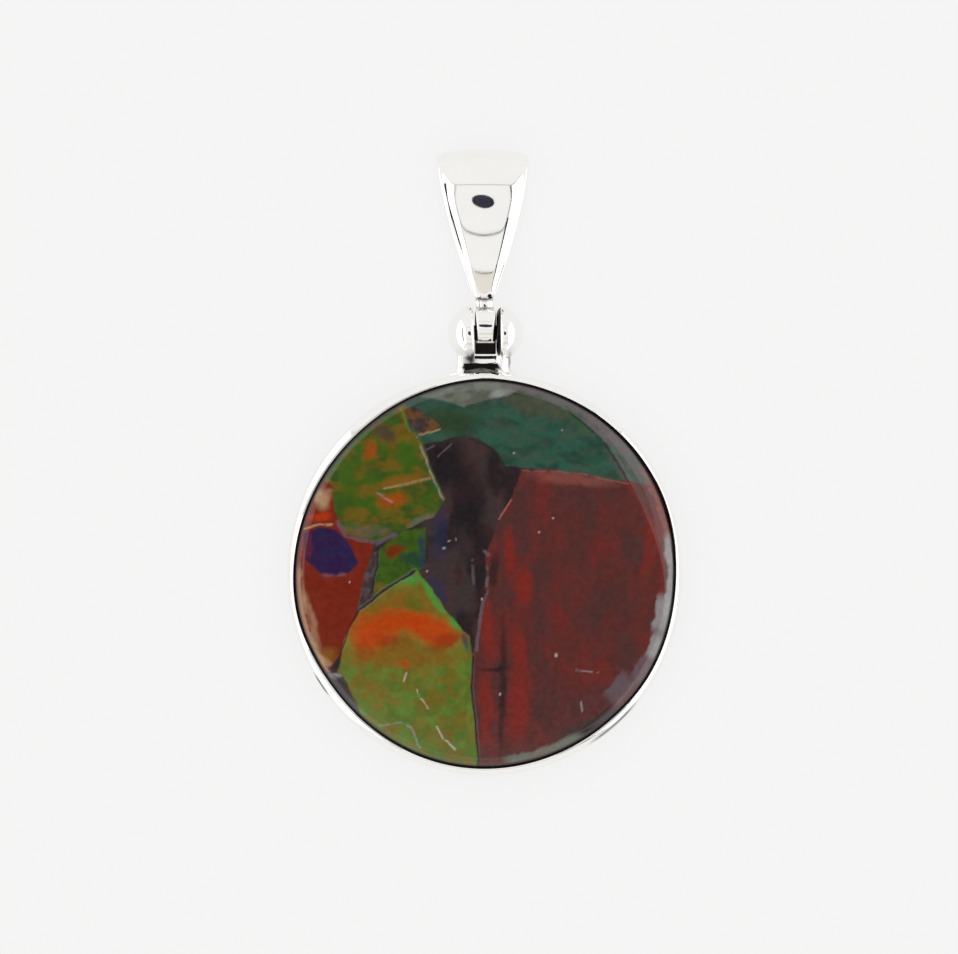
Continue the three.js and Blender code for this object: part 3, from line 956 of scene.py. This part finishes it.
def bail_painted_shade(x, y, z):
    """Painted shade in the neck's two creases, and on the sides of the eye's core."""
    height = y - HINGE.y
    from_axis = np.abs(z - HINGE.z)
    crease = bell(height, 1.24, 0.07) + bell(height, 1.72, 0.08)
    near = (from_axis > 0.3) & (from_axis < 0.62)
    core = np.hypot(height / CORE_RADIUS, (z - HINGE.z) / CORE_HALF_DEPTH) < 1.015
    half = interpolate(EYE_HALF_WIDTHS, height)
    at_side = np.abs(x) > half - 0.012
    return np.where(near, crease * 0.8, 0) + (core & (at_side | (height < CORE_BARE_BELOW)))


def bail():
    obj = combine(strap(), eye_and_neck(), "UNION")
    add_painted_shade(obj, bail_painted_shade)
    obj.name = "bail_look"
    finish_piece(obj, "bail", "bail", silver("bail_silver"))


# --- paint for the stone

# Marks on the stone are told on a chart seen from the front: x to the right, y down.
CHART_SCALE = 19.3  # chart units in a millimetre
CHART_X = 485.7  # the stone's middle on the chart
CHART_Y = 574.0
LIGHT_ON_STONE = 1.07  # how much brighter than its own colour the stone is lit
FINE_WANDER = 2.2  # how far outlines and lines stray, and over what length
FINE_LENGTH = 9
SOFT_WANDER = 9  # and the same for soft patches
SOFT_LENGTH = 14
PLATE_BLUR = 0.9  # of a plate's edge
LINE_BLUR = 0.7
GAP_LENGTH = 4.5  # of the gaps in a broken line
GAP_SOFT = 0.12
CLOUD_LOW = 0.36  # a cloudy layer shows from this much noise on, and is full at that
CLOUD_HIGH = 0.7
DAB_REACH = 1.35  # how far a soft patch reaches, and how wide its edge is
DAB_EDGE = 0.95
NOISE_LAYERS = 3


def value_noise(u, v, seed):
    """Smooth noise between 0 and 1, from scattered values at whole numbers."""
    iu, iv = np.floor(u), np.floor(v)
    fu, fv = u - iu, v - iv
    fu, fv = fu * fu * (3 - 2 * fu), fv * fv * (3 - 2 * fv)

    def corner(a, b):
        raw = np.sin(a * 127.1 + b * 311.7 + seed * 74.7) * 43758.5453
        return raw - np.floor(raw)

    top = corner(iu, iv) * (1 - fu) + corner(iu + 1, iv) * fu
    low = corner(iu, iv + 1) * (1 - fu) + corner(iu + 1, iv + 1) * fu
    return top * (1 - fv) + low * fv


def cloud_noise(u, v, seed):
    """Layers of noise, each twice as fine and half as strong as the one before."""
    layers = range(NOISE_LAYERS)
    total = sum(value_noise(u * 2 ** k, v * 2 ** k, seed + 17 * k) / 2 ** k for k in layers)
    return total / sum(1 / 2 ** k for k in layers)


def linear(color):
    """A colour as it is seen, 0 to 255, as the base colour that gives it in this light."""
    c = np.asarray(color, float) / 255
    c = np.where(c <= 0.04045, c / 12.92, ((c + 0.055) / 1.055) ** 2.4)
    return c / LIGHT_ON_STONE


class Canvas:
    """Paint on many points at once, in chart units."""

    def __init__(self, x, y):
        self.plain = (x, y)
        self.x = x + FINE_WANDER * (self.cloud(FINE_LENGTH, 3) - 0.5)
        self.y = y + FINE_WANDER * (self.cloud(FINE_LENGTH, 4) - 0.5)
        self.soft_x = x + SOFT_WANDER * (self.cloud(SOFT_LENGTH, 5) - 0.5)
        self.soft_y = y + SOFT_WANDER * (self.cloud(SOFT_LENGTH, 6) - 0.5)
        self.color = np.zeros((len(x), 3))
        self.height = np.zeros(len(x))
        self.mask = np.ones(len(x))

    def cloud(self, length, seed):
        return cloud_noise(self.plain[0] / length, self.plain[1] / length, seed)

    def distance(self, path, closed=False):
        """The distance from each point to a path."""
        best = np.full(len(self.x), 1e9)
        points = list(path) + ([path[0]] if closed else [])
        for (ax, ay), (bx, by) in zip(points, points[1:]):
            dx, dy = bx - ax, by - ay
            t = np.clip(((self.x - ax) * dx + (self.y - ay) * dy) / (dx * dx + dy * dy + 1e-9), 0, 1)
            best = np.minimum(best, np.hypot(self.x - ax - t * dx, self.y - ay - t * dy))
        return best

    def inside(self, outline):
        """How far inside an outline each point is: 1 in it, 0 outside."""
        odd = np.zeros(len(self.x), bool)
        points = list(outline)
        for (ax, ay), (bx, by) in zip(points, points[1:] + points[:1]):
            crosses = (ay > self.y) != (by > self.y)
            at = ax + (self.y - ay) * (bx - ax) / (by - ay if by != ay else 1e-9)
            odd ^= crosses & (self.x < at)
        signed = np.where(odd, 1, -1) * self.distance(outline, closed=True)
        return smooth(signed, -PLATE_BLUR, PLATE_BLUR)

    def paint(self, color, amount):
        amount = np.clip(amount * self.mask, 0, 1)[:, None]
        self.color += amount * (linear(PALETTE[color]) - self.color)

    def plate(self, outline, color, clouds):
        """Starts a plate of the stone: what follows stays inside it."""
        self.mask = np.ones(len(self.x))
        cover = self.inside(outline)
        self.paint(color, cover)
        self.mask = cover
        for other, amount, width, height, seed in clouds:
            share = cloud_noise(self.soft_x / width, self.soft_y / height, seed)
            self.paint(other, amount * smooth(share, CLOUD_LOW, CLOUD_HIGH))

    def dabs(self, strokes):
        """Soft patches: (x, y, half length, half width, degrees, colour, strength)."""
        for x, y, length, width, degrees, color, strength in strokes:
            turn = radians(degrees)
            dx, dy = self.soft_x - x, self.soft_y - y
            u = (dx * cos(turn) + dy * sin(turn)) / length
            v = (dy * cos(turn) - dx * sin(turn)) / width
            self.paint(color, strength * smooth(DAB_REACH - np.hypot(u, v), 0, DAB_EDGE))

    def line(self, seed, path, width, color, strength, broken=0.0, depth=0.0):
        """A thin line along a path, in places broken off, and sunk by depth millimetres."""
        far = self.distance(path)
        cover = strength * (1 - smooth(far, width / 2 - LINE_BLUR / 2, width / 2 + LINE_BLUR))
        if broken:
            cover = cover * smooth(self.cloud(GAP_LENGTH, seed), broken - GAP_SOFT, broken + GAP_SOFT)
        self.paint(color, cover)
        self.height -= depth * cover * self.mask


# The stone's colours, each chosen once and used by name: (red, green, blue) as seen, 0 to 255.
PALETTE = {
    "black": (30, 26, 28),
    "brown": (60, 50, 50),
    "pine": (30, 60, 50),
    "teal": (45, 85, 70),
    "olive": (75, 75, 60),
    "grey": (105, 110, 100),
    "pale": (150, 150, 150),
    "maroon": (90, 45, 40),
    "crimson": (125, 40, 32),
    "rust": (115, 35, 14),
    "orange": (185, 55, 5),
    "amber": (130, 85, 22),
    "leaf": (60, 90, 22),
    "moss": (45, 60, 28),
    "green": (95, 120, 45),
    "lime": (60, 150, 60),
    "blue": (30, 45, 85),
    "plum": (45, 26, 65),
    "mauve": (100, 85, 90),
    "pink": (165, 95, 85),
    "cream": (175, 140, 105),
    "white": (205, 195, 185),
}

# Outlines of the plates that the stone grew together from.
WHOLE = [(250, 340), (720, 340), (720, 810), (250, 810)]
TEAL = [(395, 445), (424, 445), (464, 436), (478, 438), (495, 450), (506, 466), (542, 469), (604, 478),
        (690, 490), (690, 350), (395, 350)]
TOP_PATCH = [(412, 396), (442, 400), (464, 407), (486, 400), (508, 396), (524, 386), (530, 370), (405, 370)]
RED = [(522, 471), (542, 469), (604, 478), (690, 490), (700, 800), (477, 800), (476, 712), (472, 688),
       (472, 657), (479, 623), (486, 600), (486, 556), (499, 519), (511, 498)]
UPPER_LEFT = [(320, 480), (332, 485), (334, 510), (347, 533), (372, 542), (395, 535), (434, 516), (445, 498),
              (434, 475), (421, 438), (408, 428), (404, 395), (360, 380), (320, 430)]
SHARD = [(405, 408), (414, 406), (440, 425), (438, 431), (419, 434), (409, 422)]
LEFT = [(270, 500), (318, 478), (332, 485), (334, 510), (347, 533), (373, 541), (372, 558), (357, 612),
        (341, 654), (324, 674), (290, 690)]
PLUM_PATCH = [(303, 534), (320, 527), (337, 530), (350, 545), (359, 563), (346, 576), (325, 577), (306, 560)]
SMALL_GREEN = [(377, 550), (404, 531), (426, 527), (424, 568), (402, 578), (373, 599), (374, 586), (378, 566)]
GREY_SHARD = [(372, 552), (379, 549), (378, 566), (374, 586), (357, 611), (364, 578)]
LOWER_LEFT = [(418, 571), (428, 584), (446, 611), (469, 637), (472, 657), (472, 688), (477, 758), (477, 800),
              (330, 800), (325, 700), (341, 664), (344, 640), (360, 609), (400, 579)]
RIM_SHARD = [(322, 673), (342, 673), (362, 716), (340, 730), (305, 690)]

# Each plate: outline, colour, cloudy layers of (colour, strength, width, height, seed) and brush strokes of
# (x, y, half length, half width, degrees, colour, strength).
PLATES = [
    (WHOLE, "brown", [("black", 0.8, 16, 30, 11), ("maroon", 0.2, 9, 16, 12)],
     [(445, 465, 26, 30, 0, "black", 0.9), (470, 510, 16, 44, 8, "black", 0.5),
      (440, 530, 9, 34, 0, "blue", 0.35), (437, 590, 9, 18, -30, "blue", 0.4)]),
    (TEAL, "teal", [("pine", 0.7, 22, 9, 21), ("olive", 0.3, 12, 7, 22)],
     [(450, 420, 30, 14, 0, "moss", 0.7), (535, 405, 44, 12, 18, "olive", 0.75),
      (515, 390, 10, 6, 10, "moss", 0.7), (580, 425, 20, 4, 38, "leaf", 0.35),
      (620, 470, 26, 5, 52, "mauve", 0.5)]),
    (TOP_PATCH, "grey", [("olive", 0.6, 9, 5, 31)],
     [(500, 394, 12, 4, -20, "pale", 0.8), (430, 390, 20, 5, -15, "olive", 0.6)]),
    (RED, "maroon", [("crimson", 0.4, 14, 34, 41), ("brown", 0.45, 18, 26, 42)],
     [(509, 552, 7, 26, 0, "crimson", 0.9), (524, 588, 8, 18, 0, "crimson", 0.9),
      (487, 628, 6, 36, -3, "crimson", 0.8), (486, 705, 6, 38, 0, "crimson", 0.8),
      (518, 705, 13, 42, 0, "crimson", 0.85), (519, 650, 8, 22, 0, "crimson", 0.8),
      (494, 572, 4, 20, 0, "black", 0.6), (502, 690, 4, 72, 0, "black", 0.6),
      (494, 669, 16, 2.5, 0, "black", 0.7), (572, 480, 46, 7, 6, "pink", 0.35),
      (648, 550, 7, 40, 8, "crimson", 0.6), (590, 730, 48, 12, -26, "brown", 0.8),
      (600, 700, 26, 20, -30, "brown", 0.5)]),
    (LEFT, "rust", [("crimson", 0.35, 10, 12, 51)],
     [(322, 497, 9, 12, -20, "cream", 0.85), (322, 516, 12, 5, -10, "orange", 0.7),
      (329, 654, 12, 9, 20, "amber", 0.7), (326, 661, 9, 5, 30, "cream", 0.6),
      (311, 616, 4, 34, -16, "cream", 0.5), (352, 560, 12, 12, 0, "crimson", 0.6)]),
    (PLUM_PATCH, "plum", [("blue", 0.3, 8, 8, 55)],
     [(332, 577, 26, 3.5, -4, "pink", 0.45), (309, 545, 4, 16, 0, "crimson", 0.4)]),
    (UPPER_LEFT, "leaf", [("moss", 0.45, 12, 10, 61), ("amber", 0.55, 12, 7, 62)],
     [(350, 484, 11, 26, 0, "leaf", 0.8), (406, 454, 14, 10, 0, "leaf", 0.9),
      (370, 449, 8, 13, 15, "orange", 0.5), (398, 482, 24, 5, -6, "amber", 0.9),
      (392, 501, 16, 8, -8, "orange", 0.55), (386, 432, 12, 9, 20, "brown", 0.7),
      (425, 500, 16, 7, -28, "leaf", 0.7), (370, 530, 24, 6, 8, "mauve", 0.4),
      (420, 521, 18, 4, -28, "grey", 0.5)]),
    (SHARD, "brown", [("amber", 0.5, 6, 5, 65)], []),
    (SMALL_GREEN, "leaf", [("moss", 0.5, 6, 5, 71)],
     [(395, 551, 10, 6, -20, "rust", 0.9), (413, 560, 12, 7, 0, "pine", 0.8),
      (422, 552, 3.5, 22, 0, "blue", 0.6), (381, 588, 8, 6, -30, "amber", 0.5)]),
    (GREY_SHARD, "brown", [("mauve", 0.6, 4, 8, 75)], []),
    (LOWER_LEFT, "green", [("leaf", 0.45, 14, 12, 81), ("amber", 0.5, 9, 8, 82)],
     [(402, 608, 50, 22, -8, "amber", 0.7), (378, 634, 30, 20, -18, "orange", 0.7),
      (398, 618, 26, 11, 12, "orange", 0.6), (432, 630, 34, 15, 16, "orange", 0.85),
      (392, 640, 22, 7, 4, "rust", 0.5), (446, 640, 18, 8, -24, "rust", 0.45),
      (366, 650, 14, 8, 40, "rust", 0.4), (414, 604, 12, 8, 50, "leaf", 0.45),
      (408, 646, 9, 6, -30, "amber", 0.6), (366, 634, 24, 22, 30, "orange", 0.5),
      (402, 656, 62, 14, 0, "amber", 0.75), (404, 666, 8, 4, 10, "orange", 0.5),
      (372, 690, 24, 16, 0, "amber", 0.3), (434, 594, 26, 4.5, 56, "lime", 0.7),
      (456, 622, 9, 5, 40, "lime", 0.8), (467, 642, 3.5, 10, -12, "blue", 0.6),
      (410, 582, 10, 3.5, -28, "lime", 0.6)]),
    (RIM_SHARD, "brown", [("mauve", 0.5, 6, 6, 85)], [(333, 676, 10, 3, 0, "pale", 0.8)]),
]

# Lines: path, width, colour, strength, how broken up, depth in millimetres.
LINES = [
    ([(415, 571), (385, 590), (360, 609)], 2.6, "black", 0.95, 0.0, 0.02),
    ([(360, 609), (350, 627), (341, 654)], 1.5, "black", 0.7, 0.0, 0.01),
    ([(378, 547), (377, 566), (372, 592)], 1.6, "black", 0.8, 0.0, 0.01),
    ([(473, 655), (472, 688), (477, 740), (478, 768)], 1.8, "black", 0.9, 0.0, 0.01),
    ([(424, 445), (464, 436), (495, 450), (506, 466)], 1.4, "black", 0.5, 0.3),
    ([(483, 549), (489, 555), (487, 590), (482, 607), (476, 650)], 3.0, "mauve", 0.9, 0.4),
    ([(472, 560), (474, 584)], 2.0, "mauve", 0.7, 0.3),
    ([(417, 437), (434, 480), (443, 499)], 1.2, "pale", 0.8, 0.4),
    ([(511, 500), (499, 519)], 1.2, "pink", 0.9, 0.2),
    ([(522, 470), (577, 473), (628, 484)], 1.2, "pink", 0.5, 0.4),
    ([(570, 412), (604, 441), (628, 481)], 2.0, "black", 0.6),
    ([(629, 485), (648, 521), (661, 560), (662, 603)], 1.8, "crimson", 0.8),
    ([(338, 522), (347, 536), (376, 543), (395, 535)], 4.0, "mauve", 0.8, 0.3),
    ([(304, 529), (320, 524), (332, 525)], 1.8, "cream", 0.8, 0.3),
    ([(384, 489), (408, 484), (430, 478)], 2.0, "cream", 0.6, 0.2),
    ([(377, 493), (393, 503)], 1.2, "pale", 0.6, 0.3),
    ([(419, 434), (440, 430)], 1.2, "cream", 0.8, 0.2),
    ([(401, 408), (410, 432)], 1.4, "green", 0.8, 0.2),
    ([(417, 689), (421, 698), (428, 708)], 1.0, "white", 0.65, 0.35),
    ([(437, 726), (443, 738), (455, 749)], 1.2, "white", 0.7, 0.35),
    ([(407, 673), (404, 680)], 1.2, "white", 0.6),
    ([(380, 726), (400, 722), (411, 727), (420, 748)], 1.4, "pale", 0.5, 0.4),
    ([(576, 670), (598, 672)], 1.4, "pale", 0.5, 0.5),
    ([(581, 702), (582, 711)], 1.2, "pale", 0.6),
    ([(513, 761), (550, 748), (582, 735)], 4.0, "grey", 0.6, 0.4),
    ([(427, 450), (434, 446)], 1.0, "mauve", 0.8),
    ([(438, 456), (451, 444)], 1.0, "mauve", 0.8),
]

# Small pale pits and grains: (x, y, radius).
SPECKS = [(449, 541, 1.2), (444, 548, 1.4), (456, 539, 0.9), (427, 571, 1.1), (514, 453, 1.1),
          (350, 582, 1.0), (482, 599, 1.2), (556, 655, 1.8), (553, 518, 1.1), (539, 532, 1.1),
          (562, 430, 0.8), (500, 694, 1.2)]

# The ground edge, its chips and the painted reflections on its bevel: clockwise degrees from the top, inner
# and outer radius in millimetres, colour, strength.
EDGE_CHIPS_AND_REFLECTIONS = [
    (6, 52, 9.5, 9.95, "mauve", 0.7),
    (33, 60, 9.2, 9.9, "mauve", 0.6),
    (56, 92, 9.5, 9.8, "pink", 0.4),
    (78, 104, 9.4, 9.75, "pale", 0.85),
    (97, 108, 9.0, 9.8, "pale", 0.75),
    (109, 117, 9.2, 9.8, "pale", 0.8),
    (117, 125, 9.1, 9.8, "mauve", 0.9),
    (125, 135, 8.6, 9.5, "mauve", 0.85),
    (135, 150, 9.3, 9.9, "black", 0.6),
    (150, 174, 9.35, 9.65, "grey", 0.7),
    (225, 238, 9.3, 9.9, "brown", 0.6),
    (238, 272, 9.5, 9.72, "cream", 0.65),
]
LIP_SHADOW_WIDTH = 0.16  # painted shadow under the lip: the stone is dark this close to the lip, in millimetres


def paint_edge_and_lip_shadow(canvas, angle, radius):
    """Patches along the edge, partly chips and partly painted reflections, with an uneven inner border, and
    the painted shadow line under the lip.
    """
    canvas.mask = np.ones(len(canvas.x))
    degrees = clockwise(angle)
    uneven = 0.3 * (canvas.cloud(7, 91) - 0.5)
    for start, end, inner, outer, color, strength in EDGE_CHIPS_AND_REFLECTIONS:
        along = smooth(degrees, start - 2, start + 2) * (1 - smooth(degrees, end - 2, end + 2))
        across = smooth(radius + uneven, inner - 0.06, inner + 0.06)
        across *= 1 - smooth(radius, outer, outer + 0.1)
        canvas.paint(color, strength * along * across)
    # Painted shadow under the lip: a dark line round the stone's edge.
    shadow_from = lip_radii(degrees) - LIP_SHADOW_WIDTH
    canvas.paint("black", 0.95 * smooth(radius, shadow_from - 0.03, shadow_from + 0.03))


def paint_stone(canvas, angle, radius):
    """The plates of the stone from the bottom one up, then the cracks, marks, and the edge's chips, painted
    reflections and painted shadow under the lip.
    """
    for outline, color, clouds, strokes in PLATES:
        canvas.plate(outline, color, clouds)
        canvas.dabs(strokes)
    canvas.mask = np.ones(len(canvas.x))
    for number, row in enumerate(LINES):
        canvas.line(200 + number, *row)
    for x, y, size in SPECKS:
        away = np.hypot(canvas.plain[0] - x, canvas.plain[1] - y)
        canvas.paint("white", 0.7 * (1 - smooth(away, size * 0.4, size * 1.3)))
    paint_edge_and_lip_shadow(canvas, angle, radius)


# --- the stone

UNDER_LIP = 0.1  # how far the stone reaches under the lip
DOME_RINGS = 134
BEVEL_RINGS = 14
DOME_POWER = 2.2
# The bevel in profile: (share of it, outward, down).
BEVEL = [(0.0, 0.0, 0.0), (0.3, 0.25, 0.13), (0.52, 0.41, 0.32), (0.74, 0.51, 0.57), (1.0, 0.55, 0.92)]


def stone_section(ring):
    """Radius and height of one ring of the face: the dome, then the rounded bevel."""
    if ring <= DOME_RINGS:
        radius = SHOULDER_RADIUS * ring / DOME_RINGS
        return radius, STONE_CROWN - (STONE_CROWN - SHOULDER_Z) * (radius / SHOULDER_RADIUS) ** DOME_POWER
    share = (ring - DOME_RINGS) / BEVEL_RINGS
    outward_by = smooth_read([(s, r) for s, r, _ in BEVEL], share)
    drop = smooth_read([(s, z) for s, _, z in BEVEL], share)
    return SHOULDER_RADIUS + outward_by, SHOULDER_Z - drop


def rolled(count):
    """The number of the next point, for each point of a closed ring."""
    return [(k + 1) % count for k in range(count)]


def stone():
    """The face is a square mesh folded into a disc, so its cells are all about as large."""
    size = DOME_RINGS + BEVEL_RINGS
    counts = np.arange(-size, size + 1.0)
    i, j = (part.ravel() for part in np.meshgrid(counts, counts, indexing="ij"))
    wide = np.abs(i) > np.abs(j)
    turn_wide = np.pi / 4 * j / np.where(wide, i, 1)
    turn_tall = np.pi / 2 - np.pi / 4 * i / np.where(wide | (j == 0), 1, j)
    turn = np.where(wide, turn_wide, turn_tall)
    ring = np.where(wide, i, j)
    turn = np.where(ring < 0, turn + np.pi, turn)
    ring = np.abs(ring).astype(int)
    sections = np.array([stone_section(k) for k in range(size + 1)])
    radius = sections[ring, 0]
    height = sections[ring, 1]
    angle = (turn + np.pi) % (2 * np.pi) - np.pi
    moved = WIDE_BEVEL * bell(angle, WIDE_BEVEL_ANGLE, WIDE_BEVEL_SPREAD)
    inside = radius <= SHOULDER_RADIUS
    inner_radius = radius * (1 - moved / SHOULDER_RADIUS)
    share = (radius - SHOULDER_RADIUS) / (STONE_RADIUS - SHOULDER_RADIUS)
    edge = UNDER_LIP + lip_radii(clockwise(turn))
    bevel_radius = SHOULDER_RADIUS - moved + share * (edge - SHOULDER_RADIUS + moved)
    radius = np.where(inside, inner_radius, bevel_radius)
    x = radius * np.cos(turn)
    y = radius * OVAL * np.sin(turn)

    canvas = Canvas(CHART_X + CHART_SCALE * x, CHART_Y - CHART_SCALE * y)
    paint_stone(canvas, turn, radius)
    height = height + canvas.height

    side = 2 * size + 1
    points = list(zip(x.tolist(), y.tolist(), height.tolist()))
    cells = [a * side + b for a in range(side - 1) for b in range(side - 1)]
    faces = [(k, k + side, k + side + 1, k + 1) for k in cells]
    rim = [(a, 0) for a in range(side)] + [(side - 1, b) for b in range(1, side)]
    rim += [(a, side - 1) for a in range(side - 2, -1, -1)] + [(0, b) for b in range(side - 2, 0, -1)]
    count = len(rim)
    last = [a * side + b for a, b in rim]
    back = STONE_LOW.z
    for ring_radius, z in ((STONE_RADIUS, back + STONE_BACK_EDGE), (STONE_RADIUS - STONE_BACK_EDGE, back)):
        start = len(points)
        for k in last:
            px, py, _ = points[k]
            scale = ring_radius / hypot(px, py / OVAL)
            points.append((px * scale, py * scale, z))
        this = list(range(start, start + count))
        faces += [(last[k - 1], this[k - 1], this[k], last[k]) for k in rolled(count)]
        last = this
    hub = len(points)
    points.append((0, 0, back))
    faces += [(last[k - 1], hub, last[k]) for k in rolled(count)]

    obj = new_object("ammolite_look", points, faces)
    colors = np.ones((len(points), 4), np.float32)
    colors[:, :3] = linear(PALETTE["brown"])
    colors[:len(canvas.color), :3] = np.clip(canvas.color, 0, 1)
    attribute = obj.data.attributes.new("paint", "FLOAT_COLOR", "POINT")
    attribute.data.foreach_set("color", colors.ravel())
    finish_piece(obj, "setting", "ammolite", stone_material(), sharp=50)


def stone_material():
    material, g = new_material("ammolite")
    place = g.node("ShaderNodeTexCoord").outputs["Object"]
    paint = g.node("ShaderNodeAttribute", {"attribute_name": "paint"}).outputs["Color"]
    grain = g.noise(place, 3500.0, 4.0, 0.6)
    speck = g.noise(place, 11000.0, 2.0, 0.6)
    shade = g.add(g.ramp(grain, 0.3, 0.7, 0.93, 1.07), g.ramp(speck, 0.3, 0.7, -0.03, 0.03))
    color = g.node("ShaderNodeVectorMath", {"operation": "SCALE"})
    g.put(color.inputs[0], paint)
    g.put(color.inputs["Scale"], shade)
    bump = g.node("ShaderNodeBump", Strength=0.15, Distance=0.00001, Height=speck)
    rough = g.ramp(grain, 0.3, 0.7, 0.08, 0.14)
    shader = g.node("ShaderNodeBsdfPrincipled", Base_Color=color.outputs[0], Roughness=rough, IOR=1.53,
                    Normal=bump.outputs[0])
    g.node("ShaderNodeOutputMaterial", Surface=shader.outputs[0])
    return material


# --- the scene

bpy.context.scene.view_settings.view_transform = "Standard"
add_camera()
add_tent()
add_floor()
stone()
bezel_wall()
back_plate()
hinge_bracket()
hinge_pin()
bail()
